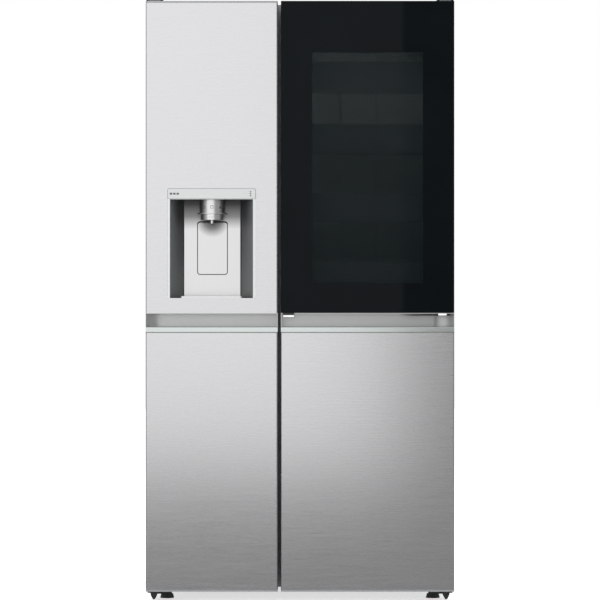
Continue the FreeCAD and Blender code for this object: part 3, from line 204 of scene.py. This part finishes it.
def steel(name, tint, rough, stretch=(2, 2, 500), metallic=1.0, mottle=0.04):
    """Brushed stainless steel: long fine grain, faint mottling and uneven roughness."""
    p = Paint(name)
    p.set(Metallic=metallic)
    grain = p.noise(1.0, stretch, 6.0, 0.75)
    cloud = p.noise(9.0, (1, 1, 1), 3.0)
    dark = tuple(c * (1 - mottle) for c in tint)
    light = tuple(min(c * (1 + mottle), 1.0) for c in tint)
    base = p.ramp(grain, [(0.25, dark), (0.75, light)])
    p.colour(p.mix(p.spread(cloud, 0.0, 0.35), base, tint))
    p.roughness(p.spread(grain, rough - 0.05, rough + 0.06))
    p.bump(grain, 0.05, 0.0004)
    return p.mat


def plastic(name, tint, rough, grain=900.0, strength=0.08, shade=0.06):
    """Moulded plastic with a fine spark texture and slight colour drift."""
    p = Paint(name)
    fine = p.noise(grain, (1, 1, 1), 2.0)
    drift = p.noise(4.0, (1, 1, 1), 2.0)
    dark = tuple(c * (1 - shade) for c in tint)
    p.colour(p.ramp(drift, [(0.3, dark), (0.7, tint)]))
    p.roughness(p.spread(fine, rough - 0.05, rough + 0.08))
    p.bump(fine, strength, 0.0003)
    return p.mat


def sheet_paint(name, tint, rough, scale=420.0, strength=0.35, metallic=0.35):
    """Powder coat with a leathery stipple, as on refrigerator side walls."""
    p = Paint(name)
    p.set(Metallic=metallic)
    stipple = p.noise(scale, (1, 1, 1), 2.0, 0.5)
    drift = p.noise(3.0)
    dark = tuple(c * 0.93 for c in tint)
    p.colour(p.ramp(drift, [(0.3, dark), (0.7, tint)]))
    p.roughness(p.spread(stipple, rough - 0.05, rough + 0.1))
    p.bump(stipple, strength, 0.0005)
    return p.mat


def rubber(name, tint):
    """Matte rubber with a fine, uneven bloom."""
    p = Paint(name)
    bloom = p.noise(60.0)
    fine = p.noise(1500.0)
    light = tuple(min(c * 1.5 + 0.01, 1.0) for c in tint)
    p.colour(p.ramp(bloom, [(0.3, tint), (0.8, light)]))
    p.roughness(p.spread(fine, 0.6, 0.85))
    p.bump(fine, 0.15, 0.0003)
    return p.mat


def clear_plastic(name, tint, alpha=0.38):
    """Clear moulded styrene: bright rims, faint flow lines."""
    p = Paint(name)
    flow = p.noise(12.0, (1, 1, 4), 3.0)
    pale = tuple(min(c * 1.05, 1.0) for c in tint)
    p.colour(p.ramp(flow, [(0.3, tint), (0.7, pale)]))
    p.roughness(p.spread(flow, 0.06, 0.14))
    p.set(Alpha=alpha, IOR=1.5)
    p.mat.surface_render_method = "BLENDED"
    return p.mat


def split(name, letter, limit, low_tint, high_tint, rough, metallic=0.0, scale=900.0, strength=0.08):
    """Two finishes on one node, parted by a plane."""
    p = Paint(name)
    fine = p.noise(scale, (1, 1, 1), 2.0)
    drift = p.noise(4.0)
    low = p.ramp(drift, [(0.3, tuple(c * 0.94 for c in low_tint)), (0.7, low_tint)])
    high = p.ramp(drift, [(0.3, tuple(c * 0.94 for c in high_tint)), (0.7, high_tint)])
    p.set(Metallic=metallic)
    p.colour(p.mix(p.above(letter, limit), low, high))
    p.roughness(p.spread(fine, rough - 0.05, rough + 0.08))
    p.bump(fine, strength, 0.0004)
    return p.mat


def case_finish():
    """Stippled grey paint on the sides and top, galvanised steel on the back."""
    p = Paint("case_finish")
    stipple = p.noise(420.0, (1, 1, 1), 2.0, 0.5)
    spangle = p.add("ShaderNodeTexVoronoi")
    spangle.inputs["Scale"].default_value = 90.0
    p.link(p.coord, spangle.inputs["Vector"])
    zinc = p.ramp(spangle.outputs["Color"], [(0.2, (0.42, 0.43, 0.44)), (0.8, (0.58, 0.59, 0.6))])
    paint = p.ramp(p.noise(3.0), [(0.3, (0.20, 0.205, 0.21)), (0.7, (0.23, 0.235, 0.24))])
    p.colour(p.mix(p.above("Y", CASE_BACK_Y - 0.006), paint, zinc))
    p.set(Metallic=0.45)
    p.roughness(p.spread(stipple, 0.38, 0.55))
    p.bump(stipple, 0.3, 0.0005)
    return p.mat


def black_glass():
    """Front glass printed black behind, with a smoked window, and a clear inner pane."""
    p = Paint("black_glass")
    centre_x = sum(WINDOW_X) / 2
    centre_z = sum(WINDOW_Z) / 2
    window = p.patch(centre_x, centre_z, (WINDOW_X[1] - WINDOW_X[0]) / 2, (WINDOW_Z[1] - WINDOW_Z[0]) / 2)
    haze = p.noise(6.0, (1, 1, 1), 2.0)
    print_black = p.ramp(haze, [(0.3, (0.0016, 0.0024, 0.0030)), (0.7, (0.0022, 0.0032, 0.0040))])
    smoke = p.ramp(haze, [(0.3, (0.0032, 0.0055, 0.0062)), (0.7, (0.0042, 0.0068, 0.0076))])
    inner = p.above("Y", FACE_Y + 0.006)
    p.colour(p.mix(window, print_black, smoke))
    see = p.math("MULTIPLY", window, 0.4)
    see = p.math("MAXIMUM", see, p.math("MULTIPLY", inner, 0.8))
    p.link(p.math("SUBTRACT", 1.0, see), p.bsdf.inputs["Alpha"])
    p.roughness(p.spread(haze, 0.03, 0.06))
    p.set(IOR=1.5, Specular_IOR_Level=0.07)
    p.mat.surface_render_method = "BLENDED"
    return p.mat


def shelf_glass():
    """Tempered shelf glass with a green edge."""
    p = Paint("shelf_glass")
    wave = p.noise(5.0)
    p.colour(p.ramp(wave, [(0.3, (0.72, 0.86, 0.80)), (0.7, (0.80, 0.92, 0.87))]))
    p.roughness(p.spread(wave, 0.02, 0.06))
    p.set(Alpha=0.3, IOR=1.5)
    p.mat.surface_render_method = "BLENDED"
    return p.mat


def lamp_lens():
    """Diffusing lens that glows."""
    p = Paint("lamp_lens")
    ribs = p.add("ShaderNodeTexWave")
    ribs.inputs["Scale"].default_value = 60.0
    p.link(p.coord, ribs.inputs["Vector"])
    p.colour(p.ramp(ribs.outputs["Fac"], [(0.0, (0.9, 0.92, 0.95)), (1.0, (1.0, 1.0, 1.0))]))
    p.set(Roughness=0.35, Emission_Color=(1.0, 0.98, 0.94, 1.0), Emission_Strength=5.0)
    return p.mat


def foam_finish():
    """Cut polyurethane foam with small cells."""
    p = Paint("foam_finish")
    cells = p.noise(700.0)
    p.colour(p.ramp(cells, [(0.3, (0.78, 0.68, 0.42)), (0.7, (0.88, 0.80, 0.56))]))
    p.roughness(p.spread(cells, 0.8, 0.95))
    p.bump(cells, 0.4, 0.0006)
    return p.mat


def coil_finish():
    """Aluminium fins and tubes with a fine drawn grain."""
    p = Paint("coil_finish")
    fine = p.noise(500.0, (4, 1, 1))
    p.set(Metallic=1.0)
    p.colour(p.ramp(fine, [(0.3, (0.62, 0.63, 0.64)), (0.7, (0.78, 0.78, 0.79))]))
    p.roughness(p.spread(fine, 0.3, 0.45))
    p.bump(fine, 0.1, 0.0003)
    return p.mat


def floor_finish():
    """Pale studio floor with very faint mottling."""
    p = Paint("floor_finish")
    cloud = p.noise(1.5)
    p.colour(p.ramp(cloud, [(0.3, (0.93, 0.93, 0.93)), (0.7, (0.96, 0.96, 0.96))]))
    p.roughness(p.spread(cloud, 0.6, 0.75))
    p.set(Emission_Color=(1.0, 1.0, 1.0, 1.0), Emission_Strength=0.6)
    return p.mat


def door_steel(name):
    """Door steel: long brushed grain over soft, cloudy changes of tone."""
    p = Paint(name)
    p.set(Metallic=1.0)
    grain = p.noise(1.0, (9, 9, 800), 6.0, 0.75)
    mottle = p.noise(260.0, (0.4, 1, 1), 2.0)
    cloud = p.noise(2.2, (1, 1, 0.6), 2.0)
    base = p.ramp(grain, [(0.25, (0.575, 0.575, 0.585)), (0.75, (0.695, 0.695, 0.705))])
    base = p.mix(p.spread(mottle, 0.0, 0.3), base, (0.655, 0.655, 0.665))
    p.colour(p.mix(p.spread(cloud, 0.0, 0.5), base, (0.63, 0.63, 0.64)))
    p.roughness(p.spread(grain, 0.23, 0.33))
    p.bump(grain, 0.04, 0.0004)
    return p.mat


def dispenser_colour_and_painted_shade():
    """Dark tapered housing with painted shade in its wall colour, darker up top and deeper in and lighter
    downwards and forwards, with a silver rim and a white chute end.
    """
    p = Paint("dispenser_colour_and_painted_shade")
    floor_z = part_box("dispenser_housing")[0].z
    # painted shade: the wall colour is darkest up by the control bar and lightens towards the housing floor
    painted_shade_by_height = p.spread(p.axis("Z"), 1.0, 0.0, floor_z, BAR_LOW.z)
    walls_with_painted_shade = p.ramp(painted_shade_by_height, [(0.0, (0.012, 0.013, 0.013)), (0.55, (0.032, 0.034, 0.035)),
                          (1.0, (0.09, 0.094, 0.094))])
    # painted shade: the wall colour darkens from the front edge back into the recess
    depth = p.spread(p.axis("Y"), 0.0, 0.85, FACE_Y + 0.004, FACE_Y + 0.05)
    walls_with_painted_shade = p.mix(depth, (0.085, 0.087, 0.089), walls_with_painted_shade)
    rim = p.math("LESS_THAN", p.axis("Y"), FACE_Y + 0.0005)
    fine = p.noise(900.0)
    chute_end = p.above("Y", FACE_Y + 0.0985)
    p.colour(p.mix(chute_end, p.mix(rim, walls_with_painted_shade, (0.62, 0.64, 0.63)), (0.8, 0.81, 0.82)))
    p.link(p.math("MULTIPLY", rim, 0.8), p.bsdf.inputs["Metallic"])
    p.roughness(p.spread(fine, 0.28, 0.4))
    p.bump(fine, 0.08, 0.0003)
    return p.mat


def bar_finish():
    """Brushed silver bar with three printed dashes on the left and three dots on the right."""
    p = Paint("bar_silver")
    p.set(Metallic=0.9)
    grain = p.noise(1.0, (2, 2, 400), 6.0, 0.75)
    silver = p.ramp(grain, [(0.25, (0.565, 0.575, 0.575)), (0.75, (0.595, 0.605, 0.605))])
    middle = (BAR_LOW.z + BAR_HIGH.z) / 2
    printed = p.patch(BAR_LOW.x + 0.010, middle, 0.0035, 0.0028)
    for x in (BAR_LOW.x + 0.020, BAR_LOW.x + 0.030):
        printed = p.math("MAXIMUM", printed, p.patch(x, middle, 0.0035, 0.0028))
    for z in (middle - 0.006, middle, middle + 0.006):
        printed = p.math("MAXIMUM", printed, p.patch(BAR_HIGH.x - 0.0155, z, 0.002, 0.0018))
    printed = p.math("MULTIPLY", printed, p.math("LESS_THAN", p.axis("Y"), FACE_Y + 0.0005))
    p.colour(p.mix(printed, silver, (0.10, 0.10, 0.105)))
    p.roughness(p.spread(grain, 0.25, 0.36))
    p.bump(grain, 0.05, 0.0004)
    return p.mat


def back_plate():
    """Vertically brushed plate behind the nozzle, with painted shade at its top and a painted shadow round
    the nozzle's lower end that also lands on the paddle.
    """
    p = Paint("dispenser_plate")
    p.set(Metallic=1.0)
    grain = p.noise(1.0, (500, 3, 3), 6.0, 0.75)
    # painted shade: darker towards the top of the plate
    painted_shade_by_height = p.spread(p.axis("Z"), 0.0, 1.0, NOZZLE_LOW.z - 0.015, NOZZLE_HIGH.z - 0.012)
    # painted shadow: darker close to a point just above the nozzle's lower end
    off_x = p.math("SUBTRACT", p.axis("X"), DISPENSER_X)
    off_z = p.math("SUBTRACT", p.axis("Z"), NOZZLE_LOW.z + 0.012)
    near = p.math("SQRT", p.math("ADD", p.math("MULTIPLY", off_x, off_x), p.math("MULTIPLY", off_z, off_z)))
    shade = p.math("MAXIMUM", painted_shade_by_height, p.spread(near, 0.75, 0.0, 0.014, 0.052))
    bright = p.ramp(grain, [(0.25, (0.66, 0.66, 0.665)), (0.75, (0.72, 0.72, 0.725))])
    # the plate's own brushed colour, mixed towards near-black painted shade and shadow
    p.colour(p.mix(p.ramp(shade, [(0.0, (0.0, 0.0, 0.0)), (0.5, (0.75, 0.75, 0.75)), (1.0, (1.0, 1.0, 1.0))]),
                   bright, (0.055, 0.055, 0.055)))
    p.roughness(p.spread(grain, 0.26, 0.36))
    p.bump(grain, 0.05, 0.0004)
    return p.mat


def dress_nodes():
    """A material for every CAD node; returns the one that the screws share."""
    doors = door_steel("door_steel")
    plate = back_plate()
    bright = steel("nozzle_steel", (0.70, 0.705, 0.70), 0.3, (3, 3, 500))
    chrome = steel("trim_chrome", (0.60, 0.645, 0.635), 0.24, (2, 2, 300), 1.0, 0.02)
    pocket = sheet_paint("pocket_grey", (0.45, 0.455, 0.455), 0.34, 900.0, 0.08, 0.7)
    white = plastic("liner_white", (0.86, 0.875, 0.88), 0.32, 500.0, 0.12, 0.03)
    clear = clear_plastic("clear_bins", (0.80, 0.88, 0.92))
    foam = foam_finish()
    dark_metal = sheet_paint("black_bracket", (0.028, 0.028, 0.03), 0.4, 700.0, 0.2, 0.3)
    frame_paint = sheet_paint("base_paint", (0.16, 0.165, 0.17), 0.5)
    coil = coil_finish()
    black_plastic = plastic("black_plastic", (0.018, 0.019, 0.02), 0.38)
    pale_plastic = plastic("pale_plastic", (0.7, 0.71, 0.7), 0.4)
    tyre = rubber("black_rubber", (0.02, 0.02, 0.02))
    seal = rubber("grey_seal", (0.30, 0.305, 0.31))
    zinc = steel("zinc_plate", (0.62, 0.62, 0.60), 0.34, (40, 40, 40))
    outer_dark = (0.006, 0.006, 0.007)
    finishes = {
        case_finish(): "outer_case",
        white: "compartment_liners evaporator_cover fridge_air_duct shelf_trims_and_rails ice_maker",
        foam: "foam_core freezer_door_core fridge_door_core",
        frame_paint: "base_frame foot_and_roller_brackets",
        zinc: "top_hinges",
        split("hinge_finish", "Y", FACE_Y + 0.0225, outer_dark, (0.5, 0.5, 0.49), 0.35): "glass_door_hinges",
        split("latch_finish", "Z", LATCH_LOW_Z + 0.005, (0.66, 0.665, 0.66), (0.008, 0.008, 0.009), 0.3):
            "glass_door_latch",
        plastic("cover_grey", (0.10, 0.105, 0.11), 0.45): "hinge_covers",
        split("rear_finish", "Z", 0.5, (0.06, 0.062, 0.065), (0.03, 0.03, 0.03), 0.55): "rear_cover",
        dark_metal: "bottom_hinges compressor",
        coil: "condenser_coil evaporator",
        black_plastic: "condenser_fan_shroud condenser_fan chute_flap",
        pale_plastic: "water_valve water_filter evaporator_fan",
        split("door_plastic", "Y", DOOR_BACK_Y - 0.0021, (0.20, 0.205, 0.21), (0.86, 0.875, 0.88), 0.35):
            "fridge_door_frame freezer_door_liner",
        shelf_glass(): "shelf_glass",
        lamp_lens(): "led_lamps",
        doors: "freezer_door_panels fridge_door_lower_panel",
        # the back panel and the paddle share the plate's painted shade and painted shadow
        plate: "dispenser_back_panel dispenser_paddle",
        bright: "nozzle_housing drip_tray ice_auger",
        steel("button_silver", (0.74, 0.745, 0.74), 0.28, (3, 3, 500)): "selector_button",
        bar_finish(): "dispenser_control_bar",
        chrome: "freezer_handle_trim fridge_handle_trim",
        pocket: "freezer_handle_pocket fridge_handle_pocket",
        seal: "freezer_door_gasket fridge_door_gasket",
        clear: "freezer_door_bins fridge_door_bins crisper_lower crisper_upper freezer_drawer_lower"
               " freezer_drawer_upper ice_bin",
        # the dispenser housing's wall colour carries painted shade
        dispenser_colour_and_painted_shade(): "dispenser_housing",
        black_glass(): "glass_door_panes",
        plastic("glass_frame_black", (0.022, 0.023, 0.024), 0.32): "glass_door_frame",
        tyre: "levelling_foot_left levelling_foot_right rear_roller_left rear_roller_right glass_door_gasket",
    }
    dressed = set()
    for mat, names in finishes.items():
        for name in names.split():
            for material_slot in nodes[name].material_slots:
                material_slot.material = mat
            dressed.add(name)
    missing = set(nodes) - dressed
    if missing:
        raise RuntimeError("nodes with no finish: %s" % sorted(missing))
    return zinc


# ---------------------------------------------------------------- added pieces


def mesh_piece(name, bm, mat, body, smooth=False):
    """Finishes a bmesh as a piece that rides on a body."""
    mesh = bpy.data.meshes.new(name)
    bmesh.ops.recalc_face_normals(bm, faces=bm.faces)
    bm.to_mesh(mesh)
    bm.free()
    if smooth:
        for face in mesh.polygons:
            face.use_smooth = True
    obj = bpy.data.objects.new(name, mesh)
    bpy.context.collection.objects.link(obj)
    mesh.materials.append(mat)
    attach(obj, body)
    return obj


def lathe(bm, centre, axis, profile, segments=24):
    """Turned shape about an axis: profile is (radius, height) pairs along it."""
    turn = Vector((0, 0, 1)).rotation_difference(Vector(axis))
    rings = []
    for radius, height in profile:
        if radius < 1e-6:
            rings.append([bm.verts.new(turn @ Vector((0, 0, height)) + centre)])
            continue
        ring = []
        for i in range(segments):
            a = 2 * math.pi * i / segments
            point = Vector((radius * math.cos(a), radius * math.sin(a), height))
            ring.append(bm.verts.new(turn @ point + centre))
        rings.append(ring)
    for a, b in zip(rings, rings[1:]):
        for i in range(segments):
            j = (i + 1) % segments
            corners = [a[i % len(a)], a[j % len(a)], b[j % len(b)], b[i % len(b)]]
            corners = list(dict.fromkeys(corners))
            if len(corners) > 2:
                bm.faces.new(corners)


def screw_head(bm, centre, axis, radius=0.0045):
    """Pan head with a recess."""
    r = radius
    lathe(bm, centre, axis, [(0, 0), (r, 0), (r, 0.25 * r), (0.85 * r, 0.5 * r), (0.5 * r, 0.6 * r),
                             (0.32 * r, 0.6 * r), (0.25 * r, 0.25 * r), (0, 0.25 * r)])


def prism(bm, outline, z0, z1, place):
    """Closed prism of an outline; place maps (u, v, depth) to a point."""
    low = [bm.verts.new(place(u, v, z0)) for u, v in outline]
    high = [bm.verts.new(place(u, v, z1)) for u, v in outline]
    bm.faces.new(low[::-1])
    bm.faces.new(high)
    for i in range(len(outline)):
        j = (i + 1) % len(outline)
        bm.faces.new([low[i], low[j], high[j], high[i]])


def frame_prism(bm, outline, width, z0, z1, place):
    """Closed outline band of a given width."""
    inner = []
    cu = sum(u for u, _ in outline) / len(outline)
    cv = sum(v for _, v in outline) / len(outline)
    for u, v in outline:
        reach = math.hypot(u - cu, v - cv)
        k = (reach - width) / reach
        inner.append((cu + (u - cu) * k, cv + (v - cv) * k))
    loops = []
    for points, depth in ((outline, z0), (outline, z1), (inner, z1), (inner, z0)):
        loops.append([bm.verts.new(place(u, v, depth)) for u, v in points])
    n = len(outline)
    for a, b in zip(loops, loops[1:] + loops[:1]):
        for i in range(n):
            j = (i + 1) % n
            bm.faces.new([a[i], a[j], b[j], b[i]])


def ellipse(cu, cv, ru, rv, count=20):
    """Points round an ellipse."""
    return [(cu + ru * math.cos(2 * math.pi * i / count), cv + rv * math.sin(2 * math.pi * i / count))
            for i in range(count)]


def on_drum(centre_x, centre_y, radius, z):
    """Maps u round a drum's front, v up and depth outward."""
    def place(u, v, depth):
        a = u / radius
        reach = radius + depth
        return Vector((centre_x + reach * math.sin(a), centre_y - reach * math.cos(a), z + v))
    return place


def on_front(x, y, z):
    """Maps u to the right, v up and depth towards the viewer of a flat front."""
    def place(u, v, depth):
        return Vector((x + u, y - depth, z + v))
    return place


def rectangle(u0, u1, v0, v1):
    """Corners of a rectangle."""
    return [(u0, v0), (u1, v0), (u1, v1), (u0, v1)]


def nozzle_icons(mat):
    """Three plain symbols on the nozzle block: a ring, a square and a triangle."""
    bm = bmesh.new()
    place = on_drum(DISPENSER_X, NOZZLE_Y, NOZZLE_R, ICONS_Z)
    ring = ellipse(-ICONS_REACH, 0.0, 0.0042, 0.0055, 20)
    frame_prism(bm, ring, 0.0014, -MARK, MARK, place)
    frame_prism(bm, rectangle(-0.004, 0.004, -0.0045, 0.0045), 0.0014, -MARK, MARK, place)
    triangle = [(ICONS_REACH - 0.004, -0.0045), (ICONS_REACH + 0.004, -0.0045), (ICONS_REACH, 0.0055)]
    prism(bm, triangle, -MARK, MARK, place)
    mesh_piece("nozzle_icons", bm, mat, "freezer_door")


def button_mark(mat):
    """Small oval on the selector button."""
    bm = bmesh.new()
    place = on_drum(DISPENSER_X, NOZZLE_Y, BUTTON_R, (BUTTON_LOW.z + BUTTON_HIGH.z) / 2)
    frame_prism(bm, ellipse(0, 0, 0.0085, 0.0024, 24), 0.0008, -MARK, MARK, place)
    mesh_piece("selector_mark", bm, mat, "selector_button")


def hinge_face(mat):
    """Bright end plate on the foot of the glass door's lower hinge."""
    bm = bmesh.new()
    place = on_front(0, FACE_Y + 0.0010, 0)
    prism(bm, rectangle(*FOOT_PLATE_X, *FOOT_PLATE_Z), -0.0004, 0.0006, place)
    mesh_piece("hinge_foot_plate", bm, mat, "fridge_door")


def rear_screws(mat):
    """Screws round the machine room cover and down the back sheet's edges."""
    bm = bmesh.new()
    cover_y = CASE_BACK_Y - 0.004
    for i in range(7):
        x = REAR_LOW.x + 0.02 + i * (REAR_HIGH.x - REAR_LOW.x - 0.04) / 6
        for z in (REAR_LOW.z + 0.012, 0.290):
            screw_head(bm, Vector((x, cover_y, z)), (0, 1, 0))
    for side in (-1, 1):
        for i in range(6):
            z = 0.36 + i * 0.27
            screw_head(bm, Vector((side * 0.435, cover_y, z)), (0, 1, 0))
    mesh_piece("rear_screws", bm, mat, "cabinet")


def cover_screws(mat):
    """A screw in a dimple on each top hinge cover."""
    bm = bmesh.new()
    for side in (-1, 1):
        x = side * (abs(COVER_HIGH.x) - 0.025)
        screw_head(bm, Vector((x, COVER_HIGH.y - 0.03, COVER_HIGH.z - 0.0022)), (0, 0, 1), 0.0035)
    mesh_piece("hinge_cover_screws", bm, mat, "cabinet")


def shelf_supports(mat):
    """Moulded ladder ribs on the side walls of both compartments."""
    bm = bmesh.new()
    for wall, inward in RIB_WALLS:
        x0 = wall + inward * 0.0002
        x1 = wall + inward * 0.0035
        for i in range(24):
            z = RIB_Z0 + i * RIB_PITCH
            prism(bm, rectangle(*RIB_Y, z, z + 0.006), x0, x1, lambda u, v, d: Vector((d, u, v)))
    mesh_piece("wall_ribs", bm, mat, "cabinet")


# ---------------------------------------------------------------- camera, lights and floor


def camera():
    """Straight-on long lens view of the front."""
    data = bpy.data.cameras.new("camera")
    data.sensor_width = SENSOR
    data.lens = SENSOR * CAMERA_AWAY / VIEW_WIDTH
    obj = bpy.data.objects.new("camera", data)
    obj.location = (0.0, FACE_Y - CAMERA_AWAY, VIEW_HEIGHT)
    obj.rotation_euler = (math.radians(90), 0, 0)
    bpy.context.collection.objects.link(obj)
    bpy.context.scene.camera = obj
    data.clip_end = 60


def softbox(name, place, aim, width, height, power, mirrored=False):
    """Rectangular area light; a mirrored one shows in the steel."""
    data = bpy.data.lights.new(name, "AREA")
    data.shape = "RECTANGLE"
    data.size = width
    data.size_y = height
    data.energy = power
    obj = bpy.data.objects.new(name, data)
    obj.location = place
    obj.rotation_mode = "QUATERNION"
    obj.rotation_quaternion = (Vector(aim) - Vector(place)).to_track_quat("-Z", "Y")
    obj.visible_camera = False
    obj.visible_glossy = mirrored
    bpy.context.collection.objects.link(obj)


def surroundings():
    """Studio that is white to the camera and dim to the object's polish, lighter overhead."""
    world = bpy.data.worlds.new("studio")
    bpy.context.scene.world = world
    world.use_nodes = True
    tree = world.node_tree
    back = tree.nodes["Background"]
    coord = tree.nodes.new("ShaderNodeTexCoord")
    parts = tree.nodes.new("ShaderNodeSeparateXYZ")
    tree.links.new(coord.outputs["Generated"], parts.inputs[0])
    rise = tree.nodes.new("ShaderNodeMapRange")
    for key, value in (("From Min", -0.1), ("From Max", 0.5), ("To Min", DIM), ("To Max", OVERHEAD)):
        rise.inputs[key].default_value = value
    tree.links.new(parts.outputs["Z"], rise.inputs["Value"])
    seen = tree.nodes.new("ShaderNodeLightPath")
    strength = tree.nodes.new("ShaderNodeMath")
    strength.operation = "MAXIMUM"
    tree.links.new(rise.outputs["Result"], strength.inputs[0])
    tree.links.new(seen.outputs["Is Camera Ray"], strength.inputs[1])
    back.inputs["Color"].default_value = (1.0, 1.0, 1.0, 1.0)
    tree.links.new(strength.outputs[0], back.inputs["Strength"])


def studio():
    """Surroundings and soft lights: one large card in front on the left shows in the steel."""
    bpy.context.scene.view_settings.view_transform = "Standard"
    surroundings()
    softbox("card", (-1.0, -2.2, 1.45), (-1.0, -0.3, 1.45), 2.75, 2.4, 17.5, True)
    softbox("key", (-2.6, -4.2, 2.8), (-0.3, -0.3, 1.1), 2.6, 2.6, 45)
    softbox("top", (0.0, -1.6, 4.2), (0.0, -0.2, 0.9), 3.0, 2.0, 45)
    softbox("rear_fill", (1.8, 4.0, 2.6), (0.0, 0.3, 0.9), 2.5, 2.5, 90)
    softbox("floor_wash", (0.0, -2.5, 3.4), (0.0, -3.5, 0.0), 5.0, 3.0, 90)


def floor():
    """Pale floor sheet."""
    bm = bmesh.new()
    bmesh.ops.create_grid(bm, x_segments=2, y_segments=2, size=14.0)
    mesh = bpy.data.meshes.new("floor")
    bm.to_mesh(mesh)
    bm.free()
    obj = bpy.data.objects.new("floor", mesh)
    mesh.materials.append(floor_finish())
    bpy.context.collection.objects.link(obj)
    obj.visible_glossy = False


camera()
screw_metal = dress_nodes()
nozzle_icons(plastic("printed_marks", (0.05, 0.052, 0.055), 0.4))
button_mark(plastic("pale_marks", (0.2, 0.2, 0.2), 0.4))
rear_screws(screw_metal)
hinge_face(plastic("bright_plate", (0.85, 0.855, 0.86), 0.3))
cover_screws(screw_metal)
shelf_supports(plastic("rib_white", (0.84, 0.855, 0.86), 0.34))
studio()
floor()
